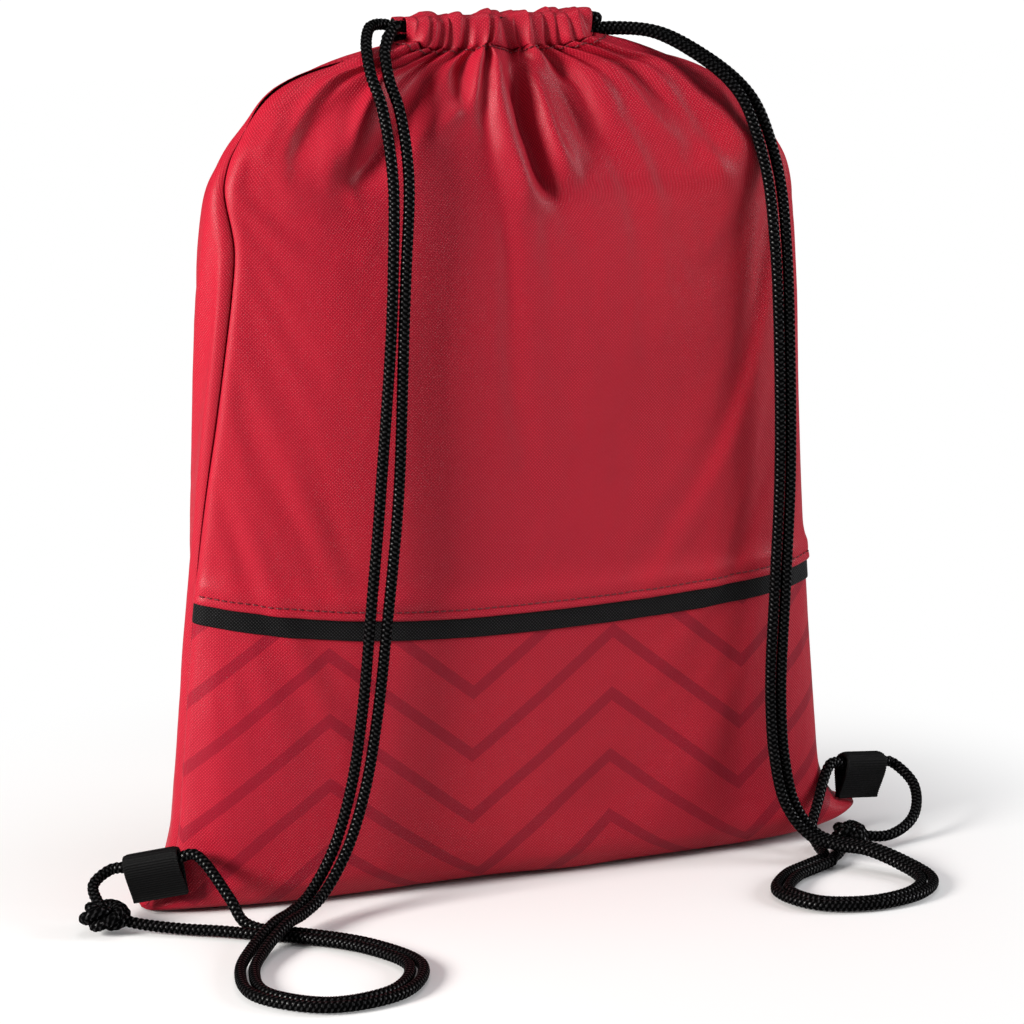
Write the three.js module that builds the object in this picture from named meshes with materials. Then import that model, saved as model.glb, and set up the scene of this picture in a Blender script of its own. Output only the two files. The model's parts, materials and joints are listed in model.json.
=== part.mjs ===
// Drawstring backpack of embossed non-woven cloth, standing on its base. Millimetres, +Z up.
// Origin: on the floor under the middle of the bag. The front faces -Y, and +X is to the right of somebody who
// looks at it.
import * as THREE from 'three';
import { mergeVertices } from 'three/addons/utils/BufferGeometryUtils.js';

// ---------------------------------------------------------------- driving dimensions
const CLOTH = 0.8;              // thickness of a panel, thickened a little from the real cloth
const GAP = 0.4;                // clearance between sewn neighbours
const CORD_R = 2.5;             // 5 mm braided cord
const CORD_SIDES = 8;
const THREAD_R = 0.35;
const SEAM_INSET = 5;           // the seam threads run inside, this far from the bag's edge

const SEAM_Y = -13;             // the side seams lie in front of the middle
const SEAM_CLIMB = 40;          // height over which a side seam comes forward from the bottom seam to there
const BOTTOM_SEAM_Y = -8;
const BOTTOM_THREAD_SHORT = 45; // the bottom thread stops this far from the corners
const BOTTOM_THREAD_LIFT = 1.6;
const SLIT_BOTTOM = 346;        // height where each side seam ends and the hemmed slit begins
const SLIT_HALF_OPEN = 3.5;     // half the distance between the two hems of a slit
const SLIT_STARTS = 20;         // the hems begin to part this far below the end of the seam
const SLIT_FULL = 30;           // and are fully apart this far above it

const MOUTH_HALF = 43;          // half the length of the gathered mouth
const TURN_REACH = 4.5;         // how far a cord's turn stands out of the casing's end
const LIP_GAP = 4;              // space between the two lips
const TUNNEL_DEPTH = 6.4;       // casing tunnel, front to back
const TUNNEL_HEIGHT = 11;
const TUNNEL_ROUND = 3.1;       // radius of the tunnel's corners
const CASING_BOTTOM = 376.6;
const CASING_TOP = CASING_BOTTOM + TUNNEL_HEIGHT + 2 * CLOTH;

const TRIM_LOW = 124;           // height of the trim tape at its lowest point
const TRIM_LOW_X = -20;
const TRIM_HALF_SPAN = 149;     // from the middle to either end
const TRIM_RISE_LEFT = 11;
const TRIM_RISE_RIGHT = 5;
const TRIM_WIDTH = 9;
const TRIM_THICK = 0.7;
const HEM_LAP = 3;              // how far the upper panel comes down over the tape
const HEM_DEPTH = 8;            // depth of the folded hem above it

const CORNER_REACH = 172;       // from the middle to the tip of the left bottom corner
const CORNER_HEIGHT = 35;       // the corners' own shape fades out at this height
const RIGHT_CORNER_EXTRA = 9;   // the right corner is pulled out and up a little
const RIGHT_CORNER_LIFT = 11;

const WEBBING = 25;             // width of the tab webbing
const WEBBING_THICK = 1.3;
const TAB_HEIGHT = 21;
const TAB_CLEARANCE = 0.9;      // between the cord and the webbing round it
const TAB_SEWN_HALF_GAP = 0.2;  // half the space between the two layers at the sewn edge
const TAB_TAPER = 4;            // height of the part that widens to the loop
const TAB_OPEN_FROM = 3.5;      // the loop is open from this height
const CORD_BELOW_CROWN = 0.6;   // the cord hangs this far below the middle of the loop's round top

const KNOT_WINDING = 5.9;       // radius of the knot's winding
const CHANNEL_CLEARANCE = 0.2;
const CASING_END_GAP = 1.5;     // from the casing's end to the straight part of a cord's turn

// Levels of the bag from the base up: height of the middle and of the side edge, half width, how far the front
// and the back stand out from the middle plane, and how square the outline is (2 is an ellipse).
const LEVELS = [
  { mid: 0, side: 0, half: CORNER_REACH, front: -BOTTOM_SEAM_Y, back: BOTTOM_SEAM_Y, square: 5 },
  { mid: 0, side: 0, half: 171, front: 20, back: 16, square: 5 },
  { mid: 3, side: 3, half: 168, front: 31, back: 26, square: 4.5 },
  { mid: 11, side: 11, half: 162, front: 37, back: 33, square: 3.6 },
  { mid: 28, side: 28, half: 157, front: 40, back: 36, square: 3 },
  { mid: 70, side: 70, half: 153, front: 43, back: 38, square: 2.7 },
  { mid: 120, side: 120, half: 149, front: 44, back: 39, square: 2.6 },
  { mid: 165, side: 165, half: 147, front: 44, back: 39, square: 2.6 },
  { mid: 210, side: 210, half: 146, front: 43, back: 38, square: 2.6 },
  { mid: 262, side: 262, half: 145, front: 41, back: 36, square: 2.6 },
  { mid: 311, side: 311, half: 142, front: 36, back: 31, square: 2.5 },
  { mid: 331, side: 331, half: 132, front: 32, back: 27, square: 2.4 },
  { mid: 347, side: SLIT_BOTTOM, half: 117, front: 26, back: 23, square: 2.3 },
  { mid: 359, side: 360, half: 102, front: 20, back: 18, square: 2.2 },
  { mid: 368, side: 369, half: 78, front: 14, back: 13, square: 2.1 },
  { mid: 375, side: 376, half: MOUTH_HALF, front: 7.5, back: 7.5, square: 8 },
];
const COLUMNS = 22;             // strips of a panel from one side seam to the other
const BELOW_TRIM = 5;           // the last level wholly below the trim tape
const ABOVE_TRIM = 7;           // the first level wholly above the lapped hem

const root = new THREE.Group();

// ---------------------------------------------------------------- materials
const paint = (color, roughness) => new THREE.MeshStandardMaterial({ color, roughness, metalness: 0 });
const red = paint(0xb01a2c, 0.55);
const printedRed = paint(0xab1829, 0.55);
const black = paint(0x121214, 0.6);
const cordBlack = paint(0x0d0d0f, 0.5);
const redThread = paint(0x9a1222, 0.6);

function addPart(name, geometry, material) {
  const mesh = new THREE.Mesh(geometry, material);
  mesh.name = name;
  root.add(mesh);
  return mesh;
}

// ---------------------------------------------------------------- the bag's surface
const mix = (a, b, t) => a + (b - a) * t;

function levelAt(row) {
  const k = Math.min(Math.floor(row), LEVELS.length - 2);
  const t = row - k;
  const out = {};
  for (const key of Object.keys(LEVELS[0])) out[key] = mix(LEVELS[k][key], LEVELS[k + 1][key], t);
  return out;
}

// The row of the table, with its fraction, where the middle of the bag is at height z.
function rowAtHeight(z) {
  let k = 1;
  while (LEVELS[k + 1].mid < z) k += 1;
  return k + (z - LEVELS[k].mid) / (LEVELS[k + 1].mid - LEVELS[k].mid);
}

// 0 below the slits, rising to 1 where their hems stand apart.
function slitShare(level) {
  return THREE.MathUtils.smoothstep(level.side, SLIT_BOTTOM - SLIT_STARTS, SLIT_BOTTOM + SLIT_FULL);
}

// Where the side seam runs, front to back, at a row: on the floor it meets the bottom seam.
function seamLine(row) {
  const level = levelAt(row);
  const above = THREE.MathUtils.smoothstep(level.mid, 0, SEAM_CLIMB);
  return mix(mix(BOTTOM_SEAM_Y, SEAM_Y, above), 0, slitShare(level));
}

// A point of the front (facing -1) or back (facing +1) cloth. across runs from -1 at the left edge to +1.
function bagPoint(across, row, facing) {
  const level = levelAt(row);
  const angle = across * Math.PI / 2;
  const power = 2 / level.square;
  const x = Math.sign(across) * level.half * Math.abs(Math.sin(angle)) ** power;
  const bulge = Math.max(Math.cos(angle), 0) ** power;
  const low = Math.max(0, 1 - level.mid / CORNER_HEIGHT);
  const slit = slitShare(level);
  const seam = seamLine(row);
  const edge = seam + facing * mix(GAP / 2, SLIT_HALF_OPEN, slit);
  const out = facing < 0 ? -level.front - GAP / 2 : level.back + GAP / 2;
  const rightward = Math.max(x, 0) / CORNER_REACH;
  return new THREE.Vector3(
    x + RIGHT_CORNER_EXTRA * low * rightward ** 3,
    mix(edge, out, bulge),
    mix(level.mid, level.side, Math.abs(across) ** 3) + RIGHT_CORNER_LIFT * low * rightward ** 8,
  );
}

function bagNormal(across, row, facing) {
  const step = 0.01;
  const a0 = Math.max(across - step, -1);
  const a1 = Math.min(across + step, 1);
  const r0 = Math.max(row - step, 0);
  const r1 = Math.min(row + step, LEVELS.length - 1);
  const du = bagPoint(a1, row, facing).sub(bagPoint(a0, row, facing));
  const dv = bagPoint(across, r1, facing).sub(bagPoint(across, r0, facing));
  const normal = du.cross(dv).multiplyScalar(-facing);
  // At a seam the cloth's cut edge lies in the seam's own plane, so the two panels meet without crossing.
  if (Math.abs(across) > 0.999 || row === 0) normal.y = 0;
  return normal.normalize();
}

// A closed sheet between two lists of rows of points, the outer side and the inner side.
function sheet(outer, inner, flip) {
  const rows = outer.length;
  const columns = outer[0].length;
  const positions = [];
  for (const side of [outer, inner]) {
    for (const line of side) for (const p of line) positions.push(p.x, p.y, p.z);
  }
  const index = [];
  const id = (side, r, c) => side * rows * columns + r * columns + c;
  const quad = (a, b, c, d) => (flip ? index.push(a, c, b, a, d, c) : index.push(a, b, c, a, c, d));
  for (let r = 0; r < rows - 1; r += 1) {
    for (let c = 0; c < columns - 1; c += 1) {
      quad(id(0, r, c), id(0, r, c + 1), id(0, r + 1, c + 1), id(0, r + 1, c));
      quad(id(1, r, c), id(1, r + 1, c), id(1, r + 1, c + 1), id(1, r, c + 1));
    }
  }
  for (let c = 0; c < columns - 1; c += 1) {
    quad(id(0, 0, c), id(1, 0, c), id(1, 0, c + 1), id(0, 0, c + 1));
    quad(id(0, rows - 1, c), id(0, rows - 1, c + 1), id(1, rows - 1, c + 1), id(1, rows - 1, c));
  }
  for (let r = 0; r < rows - 1; r += 1) {
    quad(id(0, r, 0), id(0, r + 1, 0), id(1, r + 1, 0), id(1, r, 0));
    quad(id(0, r, columns - 1), id(1, r, columns - 1), id(1, r + 1, columns - 1), id(0, r + 1, columns - 1));
  }
  const geometry = new THREE.BufferGeometry();
  geometry.setAttribute('position', new THREE.Float32BufferAttribute(positions, 3));
  geometry.setIndex(index);
  return geometry;
}

// Cloth that follows the bag. rowsFor(across) lists the rows to use there; liftFor(i) is how far the cloth's
// outer side stands off the bag's surface at the i-th of them.
function clothPiece({ rowsFor, facing, liftFor = () => 0, thickness = CLOTH }) {
  const outer = [];
  const inner = [];
  const count = rowsFor(0).length;
  for (let i = 0; i < count; i += 1) {
    const outerLine = [];
    const innerLine = [];
    for (let c = 0; c <= COLUMNS; c += 1) {
      const across = mix(-1, 1, c / COLUMNS);
      const row = rowsFor(across)[i];
      const normal = bagNormal(across, row, facing);
      const surface = bagPoint(across, row, facing);
      outerLine.push(surface.clone().addScaledVector(normal, liftFor(i)));
      innerLine.push(surface.clone().addScaledVector(normal, liftFor(i) - thickness));
    }
    outer.push(outerLine);
    inner.push(innerLine);
  }
  return sheet(outer, inner, facing > 0);
}

// ---------------------------------------------------------------- panels and trim
// Height of the trim at a place across the front, where the front is TRIM_HALF_SPAN to either side.
const TRIM_ROW = rowAtHeight(TRIM_LOW);

function trimHeight(across) {
  const { x } = bagPoint(across, TRIM_ROW, -1);
  const rise = x < TRIM_LOW_X ? TRIM_RISE_LEFT : TRIM_RISE_RIGHT;
  const reach = TRIM_HALF_SPAN + Math.sign(x - TRIM_LOW_X) * -TRIM_LOW_X;
  return TRIM_LOW + rise * ((x - TRIM_LOW_X) / reach) ** 2;
}

const wholeRows = (from, to) => Array.from({ length: to - from + 1 }, (_, i) => from + i);
const TOP_ROW = LEVELS.length - 1;

const HEM_LIFT = TRIM_THICK + 2 * GAP + CLOTH;   // how far the hem's outer side stands off the bag's surface

function buildPanels() {
  addPart('back_panel', clothPiece({
    facing: 1, rowsFor: () => wholeRows(0, TOP_ROW),
  }), red);
  const seamRow = (across, above) => rowAtHeight(trimHeight(across) + above);
  addPart('front_lower_panel', clothPiece({
    facing: -1,
    rowsFor: (across) => [
      ...wholeRows(0, BELOW_TRIM), seamRow(across, -TRIM_WIDTH / 2), seamRow(across, TRIM_WIDTH),
    ],
  }), printedRed);
  addPart('trim_tape', clothPiece({
    facing: -1, thickness: TRIM_THICK,
    rowsFor: (across) => [seamRow(across, -TRIM_WIDTH / 2), seamRow(across, TRIM_WIDTH / 2 + HEM_LAP)],
    liftFor: () => TRIM_THICK + GAP,
  }), black);
  const hemLift = [HEM_LIFT, HEM_LIFT, CLOTH / 2, 0];
  addPart('front_upper_panel', clothPiece({
    facing: -1,
    rowsFor: (across) => [
      seamRow(across, TRIM_WIDTH / 2), seamRow(across, TRIM_WIDTH / 2 + HEM_DEPTH),
      seamRow(across, TRIM_WIDTH / 2 + 2 * HEM_DEPTH), ...wholeRows(ABOVE_TRIM, TOP_ROW),
    ],
    liftFor: (i) => hemLift[Math.min(i, hemLift.length - 1)],
  }), red);
}

// ---------------------------------------------------------------- casings
function roundedBox(width, height, radius, PathClass) {
  const path = new PathClass();
  const w = width / 2 - radius;
  const h = height / 2 - radius;
  path.absarc(w, h, radius, 0, Math.PI / 2);
  path.absarc(-w, h, radius, Math.PI / 2, Math.PI);
  path.absarc(-w, -h, radius, Math.PI, Math.PI * 1.5);
  path.absarc(w, -h, radius, Math.PI * 1.5, Math.PI * 2);
  path.closePath();
  return path;
}

const LIP_Y = LIP_GAP / 2 + CLOTH + TUNNEL_DEPTH / 2;
const TUNNEL_Z = (CASING_BOTTOM + CASING_TOP) / 2;

// A flat tunnel of cloth along X, open at both ends.
function casing(facing) {
  const depth = TUNNEL_DEPTH + 2 * CLOTH;
  const height = TUNNEL_HEIGHT + 2 * CLOTH;
  const shape = roundedBox(depth, height, TUNNEL_ROUND + CLOTH, THREE.Shape);
  shape.holes.push(roundedBox(TUNNEL_DEPTH, TUNNEL_HEIGHT, TUNNEL_ROUND, THREE.Path));
  const geometry = new THREE.ExtrudeGeometry(shape, {
    depth: 2 * MOUTH_HALF, bevelEnabled: false, curveSegments: 3, steps: 1,
  });
  // The shape's x is front to back and its y is up: turn the length of the extrusion onto X.
  geometry.applyMatrix4(new THREE.Matrix4().makeBasis(
    new THREE.Vector3(0, 1, 0), new THREE.Vector3(0, 0, 1), new THREE.Vector3(1, 0, 0),
  ));
  geometry.translate(-MOUTH_HALF, facing * LIP_Y, TUNNEL_Z);
  return geometry;
}

function buildCasings() {
  addPart('front_casing', casing(-1), red);
  addPart('back_casing', casing(1), red);
}

// ---------------------------------------------------------------- cords
function roundSection(radius, sides, turn) {
  const shape = new THREE.Shape();
  for (let i = 0; i < sides; i += 1) {
    const angle = (i + turn) / sides * 2 * Math.PI;
    const corner = [radius * Math.cos(angle), radius * Math.sin(angle)];
    if (i === 0) shape.moveTo(...corner);
    else shape.lineTo(...corner);
  }
  shape.closePath();
  return shape;
}

function cordAlong(points, steps) {
  const path = new THREE.CatmullRomCurve3(points);
  const section = roundSection(CORD_R, CORD_SIDES, 0.5);
  return new THREE.ExtrudeGeometry(section, { extrudePath: path, steps, bevelEnabled: false });
}

const v = (x, y, z) => new THREE.Vector3(x, y, z);
const UP = v(0, 0, 1);

// Middle line of each pair of strands: out of the casing and over the shoulder (hook), down the front (upper
// and lower), then round the coil on the floor. Each stretch starts where the one before it ends.
const LEFT = {
  name: 'left',
  sign: -1,
  hook: [v(-45, 0, 385.8), v(-52.5, -3.5, 386), v(-59.5, -13, 379), v(-61.5, -23, 367), v(-59, -30, 353)],
  upper: [v(-58, -39, 325), v(-61, -45, 285), v(-65, -49, 232), v(-69, -51, 182)],
  lower: [v(-74, -52, 135), v(-78.5, -51, 90), v(-84.5, -51, 56), v(-94, -53, 30), v(-107, -58, 13)],
  coil: [v(-118, -66, 9), v(-129, -76, 8.7), v(-145, -93, 4.5), v(-157, -114, 2.6), v(-160, -143, 2.6),
    v(-138, -165, 2.6), v(-106, -160, 2.6), v(-88, -132, 2.6), v(-98, -102, 2.6), v(-118, -80, 2.6),
    v(-133, -69, 2.6)],
  toKnot: [v(-150, -60, 2.6), v(-166, -50, 2.6), v(-182, -41, 4)],
  knot: v(-197, -34, 7.4),
  toTab: [v(-140, -58, 5), v(-144, -50, 14)],
  fromTab: [v(-196, -17, 16)],
  tab: { inner: v(-156, -31, 13), outer: v(-179, -18, 7) },
};
const RIGHT = {
  name: 'right',
  sign: 1,
  hook: [v(45, 0, 380.2), v(58, -3, 381), v(75, -9, 379), v(93, -17, 369), v(107, -23, 357),
    v(114, -27, 346)],
  upper: [v(121, -34, 318), v(123, -40, 285), v(124, -44, 232), v(124, -46, 180)],
  lower: [v(122, -47, 130), v(120, -48, 80), v(122, -49, 48), v(127, -52, 25), v(136, -58, 12)],
  coil: [v(145, -66, 9), v(155, -77, 8.7), v(165, -92, 5), v(168, -108, 2.6), v(155, -124, 2.6),
    v(130, -130, 2.6), v(107, -121, 2.6), v(100, -101, 2.6), v(113, -82, 2.6), v(126, -74, 2.6),
    v(137, -68, 2.6)],
  toKnot: [v(143, -64.5, 2.6), v(147.2, -61, 2.8)],
  knot: v(157, -50, 7.4),
  toTab: [v(140.5, -59.5, 2.7), v(141.5, -51, 4), v(141.5, -44, 9), v(149, -34.5, 19)],
  fromTab: [v(204, -25, 20), v(195, -43, 10), v(178, -51, 5)],
  tab: { inner: v(166, -21, 17), outer: v(190, -14, 13) },
};

const STRETCHES = ['hook', 'upper', 'lower', 'coil'];
// Half the distance between the two strands of a pair at the casing and at the end of each stretch.
const SPREAD = [LIP_Y, 4.6, 4.1, 3, 2.9];
// Clearance left at each place where one stretch ends and the next begins.
const CUT = [4.5, 1, 0.8, 1.8, 0];
const STEPS = { hook: 8, upper: 8, lower: 10, coil: 28 };
const SMALL_STEP = 1e-3;
// A cord's straight run before and behind the tab, and the gaps where its tails begin.
const TAB_RUN = 7;
const TAB_GAP = 1;
const TAIL_GAP = 1.6;

// Sideways direction between the strands: across the cord and level, and along X where the cord hangs.
function sideways(tangent) {
  return UP.clone().cross(tangent).add(v(Math.abs(tangent.z), 0, 0)).normalize();
}

// How far along a path, as a share of it, a given length near t is.
function shareOf(path, t, length) {
  const from = Math.min(t, 1 - SMALL_STEP);
  return length * SMALL_STEP / path.getPoint(from).distanceTo(path.getPoint(from + SMALL_STEP));
}

// Points along one strand of one stretch, cut short by half the clearance at both ends.
function strandPoints(stretch, side, which) {
  const all = STRETCHES.flatMap((name) => side[name]);
  const path = new THREE.CatmullRomCurve3(all);
  const number = STRETCHES.indexOf(stretch);
  let before = 0;
  for (let i = 0; i < number; i += 1) before += side[STRETCHES[i]].length;
  const start = Math.max(before - 1, 0) / (all.length - 1);
  const end = (before + side[stretch].length - 1) / (all.length - 1);
  const from = start + shareOf(path, start, CUT[number] / 2);
  const to = end - shareOf(path, end, CUT[number + 1] / 2);
  const count = STEPS[stretch];
  return Array.from({ length: count + 1 }, (_, i) => {
    const t = mix(from, to, i / count);
    const half = mix(SPREAD[number], SPREAD[number + 1], THREE.MathUtils.smoothstep(i / count, 0, 1));
    return path.getPoint(t).addScaledVector(sideways(path.getTangent(t)), which * half);
  });
}

// Seen along the cord away from the casing, the left side's front strand runs on the plus side and the right
// side's front strand on the minus side.
function buildStraps(side) {
  for (const [strand, which] of [['front', -side.sign], ['back', side.sign]]) {
    for (const stretch of STRETCHES) {
      const name = `${side.name}_${strand}_strand_${stretch}`;
      addPart(name, cordAlong(strandPoints(stretch, side, which), STEPS[stretch]), cordBlack);
    }
  }
}

// The tail that goes straight to the knot, and the one that passes through the tab first.
function buildTails(side) {
  const start = (which) => {
    const end = strandPoints('coil', side, which).slice(-2);
    const direction = end[1].clone().sub(end[0]).normalize();
    return end[1].clone().addScaledVector(direction, TAIL_GAP);
  };
  const { inner, outer, along } = tabFrame(side);
  const entry = [TAB_RUN, TAB_GAP].map((away) => inner.clone().addScaledVector(along, -away));
  const exit = [TAB_GAP, TAB_RUN].map((away) => outer.clone().addScaledVector(along, away));
  addPart(`${side.name}_tail_to_knot`, cordAlong([start(-side.sign), ...side.toKnot], 8), cordBlack);
  addPart(`${side.name}_tail_to_tab`, cordAlong([start(side.sign), ...side.toTab, ...entry], 12), cordBlack);
  addPart(`${side.name}_tail_from_tab`, cordAlong([...exit, ...side.fromTab], 10), cordBlack);
}

function buildKnot(side) {
  const geometry = new THREE.TorusKnotGeometry(KNOT_WINDING, CORD_R, 36, 6, 2, 3);
  geometry.deleteAttribute('normal');
  geometry.deleteAttribute('uv');
  const knot = addPart(`${side.name}_knot`, mergeVertices(geometry, 1e-3), cordBlack);
  knot.position.copy(side.knot);
}

const CHANNEL_OFFSET = CORD_R + CHANNEL_CLEARANCE;

// The cords inside the casings. The left cord runs in the upper half of each tunnel and the right cord in the
// lower half.
function buildChannelCords(side) {
  const z = TUNNEL_Z - side.sign * CHANNEL_OFFSET;
  for (const [casingName, facing] of [['front', -1], ['back', 1]]) {
    const line = [v(-MOUTH_HALF, facing * LIP_Y, z), v(MOUTH_HALF, facing * LIP_Y, z)];
    addPart(`${side.name}_cord_in_${casingName}_casing`, cordAlong(line, 1), cordBlack);
  }
  const x = -side.sign * (MOUTH_HALF + CASING_END_GAP);
  const turnX = (k) => x - side.sign * TURN_REACH * Math.sqrt(1 - k * k);
  const turn = [-1, -0.8, 0, 0.8, 1].map((k) => v(turnX(k), k * LIP_Y, z));
  addPart(`${side.name}_cord_turn`, cordAlong(turn, 8), cordBlack);
}

// ---------------------------------------------------------------- webbing tabs
// A folded loop of webbing: two layers together at the sewn edge, spread round the cord above.
function tabSection() {
  const belly = CORD_R + TAB_CLEARANCE;
  const wide = belly + WEBBING_THICK;
  const foot = WEBBING_THICK + TAB_SEWN_HALF_GAP;
  const top = TAB_HEIGHT - wide;
  const outer = new THREE.Shape();
  outer.moveTo(-foot, 0);
  outer.lineTo(foot, 0);
  outer.lineTo(wide, top - TAB_TAPER);
  outer.absarc(0, top, wide, 0, Math.PI);
  outer.lineTo(-wide, top - TAB_TAPER);
  outer.closePath();
  const inner = new THREE.Path();
  inner.moveTo(0, TAB_OPEN_FROM);
  inner.lineTo(belly, top - TAB_TAPER);
  inner.absarc(0, top, belly, 0, Math.PI);
  inner.lineTo(-belly, top - TAB_TAPER);
  inner.closePath();
  outer.holes.push(inner);
  return { outer, cordHeight: top - CORD_BELOW_CROWN };
}

// Where a tab stands: its middle at the sewn edge, its directions, and both ends of the cord that passes
// through it.
function tabFrame(side) {
  const along = side.tab.outer.clone().sub(side.tab.inner).normalize();
  const thickness = v(-along.y, along.x, 0).normalize();
  const up = along.clone().cross(thickness).normalize();
  if (up.z < 0) up.negate();
  const middle = side.tab.inner.clone().add(side.tab.outer).multiplyScalar(0.5);
  const centre = middle.clone().addScaledVector(up, tabSection().cordHeight);
  const inner = centre.clone().addScaledVector(along, -WEBBING / 2);
  const outer = centre.clone().addScaledVector(along, WEBBING / 2);
  return { along, thickness, up, middle, inner, outer };
}

function buildTab(side) {
  const { thickness, up, middle, inner, outer } = tabFrame(side);
  const geometry = new THREE.ExtrudeGeometry(tabSection().outer, {
    depth: WEBBING, bevelEnabled: false, curveSegments: 8, steps: 1,
  });
  geometry.translate(0, 0, -WEBBING / 2);
  geometry.applyMatrix4(new THREE.Matrix4().makeBasis(thickness, up, thickness.clone().cross(up)));
  const tab = addPart(`${side.name}_tab`, geometry, black);
  tab.position.copy(middle);
  addPart(`${side.name}_cord_in_tab`, cordAlong([inner, outer], 1), cordBlack);
}

// ---------------------------------------------------------------- thread
const TOPSTITCH_ABOVE = 4;       // from the hem's lower edge
const CASING_STITCH_BELOW = 0.25; // in rows of the table, below the casing
const CASING_STITCH_LIFT = 0.8;
const SEAM_THREAD_ROW = 2.6;     // row of the table where the side threads start
const SEAM_THREAD_SHORT = 2;     // they stop this far below the slit
const THREAD_SIDES = 3;

// One thread along a line of places from one end to the other.
function threadAlong(pointFor, stitches, from, to) {
  const points = [];
  for (let i = 0; i <= stitches; i += 1) points.push(pointFor(mix(from, to, i / stitches)));
  const path = new THREE.CatmullRomCurve3(points);
  const section = roundSection(THREAD_R, THREAD_SIDES, 0);
  return new THREE.ExtrudeGeometry(section, { extrudePath: path, steps: stitches, bevelEnabled: false });
}

const onCloth = (rowFor, facing, lift) => (across) => {
  const row = rowFor(across);
  return bagPoint(across, row, facing).addScaledVector(bagNormal(across, row, facing), lift);
};

function buildThreads() {
  const hemRow = (across) => rowAtHeight(trimHeight(across) + TRIM_WIDTH / 2 + TOPSTITCH_ABOVE);
  const topstitch = onCloth(hemRow, -1, HEM_LIFT + 2 * THREAD_R);
  addPart('trim_topstitch', threadAlong(topstitch, 44, -0.9, 0.9), redThread);
  for (const [name, facing] of [['front', -1], ['back', 1]]) {
    const line = onCloth(() => TOP_ROW - CASING_STITCH_BELOW, facing, CASING_STITCH_LIFT);
    addPart(`${name}_casing_stitch`, threadAlong(line, 20, -0.8, 0.8), redThread);
  }
  for (const [name, across] of [['left', -1], ['right', 1]]) {
    const seam = (row) => bagPoint(across, row, -1).add(v(-across * SEAM_INSET, 0, 0)).setY(seamLine(row));
    const last = rowAtHeight(SLIT_BOTTOM - SEAM_THREAD_SHORT);
    addPart(`${name}_seam_thread`, threadAlong(seam, 30, SEAM_THREAD_ROW, last), redThread);
  }
  const reach = CORNER_REACH - BOTTOM_THREAD_SHORT;
  const bottom = (x) => v(x, BOTTOM_SEAM_Y, CLOTH + BOTTOM_THREAD_LIFT);
  addPart('bottom_seam_thread', threadAlong(bottom, 12, -reach, reach), redThread);
}

buildPanels();
buildCasings();
for (const side of [LEFT, RIGHT]) {
  buildStraps(side);
  buildTails(side);
  buildKnot(side);
  buildChannelCords(side);
  buildTab(side);
}
buildThreads();

export default root;
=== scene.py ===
"""Looks of the drawstring backpack: gathered non-woven cloth bag, braided cords and webbing tabs.

Shapes are worked out in millimetres in the CAD part's frame: +Z up, the front faces -Y, the origin is on the
floor under the middle of the bag. They become metres where a mesh is made.
"""

import itertools
import json
import math

import bpy
import numpy as np
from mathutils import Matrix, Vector


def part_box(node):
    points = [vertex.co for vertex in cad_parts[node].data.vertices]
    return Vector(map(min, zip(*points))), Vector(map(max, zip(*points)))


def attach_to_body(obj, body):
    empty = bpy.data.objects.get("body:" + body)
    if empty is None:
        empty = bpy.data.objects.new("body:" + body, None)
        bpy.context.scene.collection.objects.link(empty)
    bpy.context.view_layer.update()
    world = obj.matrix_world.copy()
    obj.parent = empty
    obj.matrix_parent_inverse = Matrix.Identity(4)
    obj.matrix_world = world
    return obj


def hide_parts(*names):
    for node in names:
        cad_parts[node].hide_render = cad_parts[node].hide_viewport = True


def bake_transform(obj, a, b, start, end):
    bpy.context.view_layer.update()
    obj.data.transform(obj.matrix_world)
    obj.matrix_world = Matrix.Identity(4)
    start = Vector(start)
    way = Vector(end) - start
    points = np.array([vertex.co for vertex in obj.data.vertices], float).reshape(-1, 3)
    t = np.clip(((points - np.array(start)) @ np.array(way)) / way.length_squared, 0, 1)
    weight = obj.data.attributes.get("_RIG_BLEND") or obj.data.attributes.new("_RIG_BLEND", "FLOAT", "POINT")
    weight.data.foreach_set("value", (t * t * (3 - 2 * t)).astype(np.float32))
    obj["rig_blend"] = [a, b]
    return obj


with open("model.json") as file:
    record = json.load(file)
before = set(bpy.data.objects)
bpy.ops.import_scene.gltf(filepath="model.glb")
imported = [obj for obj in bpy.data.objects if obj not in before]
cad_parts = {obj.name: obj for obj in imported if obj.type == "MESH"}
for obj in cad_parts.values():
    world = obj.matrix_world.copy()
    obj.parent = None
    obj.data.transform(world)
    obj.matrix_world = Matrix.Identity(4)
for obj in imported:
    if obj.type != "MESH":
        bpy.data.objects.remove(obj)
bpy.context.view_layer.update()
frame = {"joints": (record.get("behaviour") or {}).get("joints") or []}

MM = 0.001

# ---------------- driving dimensions
CLOTH = 0.5                # thickness of the cloth
CLOTH_STEP = 0.6           # the first line of cloth above the bottom seam
SEAM_Y = -13.0             # the side seams lie in front of the middle
BOTTOM_SEAM_Y = -8.0
SEAM_TURN_HEIGHT = 40.0    # the bottom seam's place turns into the side seams' up to here
SLIT_BOTTOM = 346.0        # each side seam ends here and the hemmed slit begins
SLIT_HALF_OPEN = 2.8
SLIT_FADE = (-20.0, 30.0)  # the seam line turns into the slit between these heights, from SLIT_BOTTOM
SEAM_ROUND = 19.0          # the left seam lies this far round on the front at the shoulder
SEAM_ROUND_HEIGHTS = (100.0, 290.0)
CORNER_REACH = 172.0
CORNER_HEIGHT = 35.0       # the corners' own shape fades out at this height
RIGHT_CORNER_EXTRA = 9.0
RIGHT_CORNER_LIFT = 11.0

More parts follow.
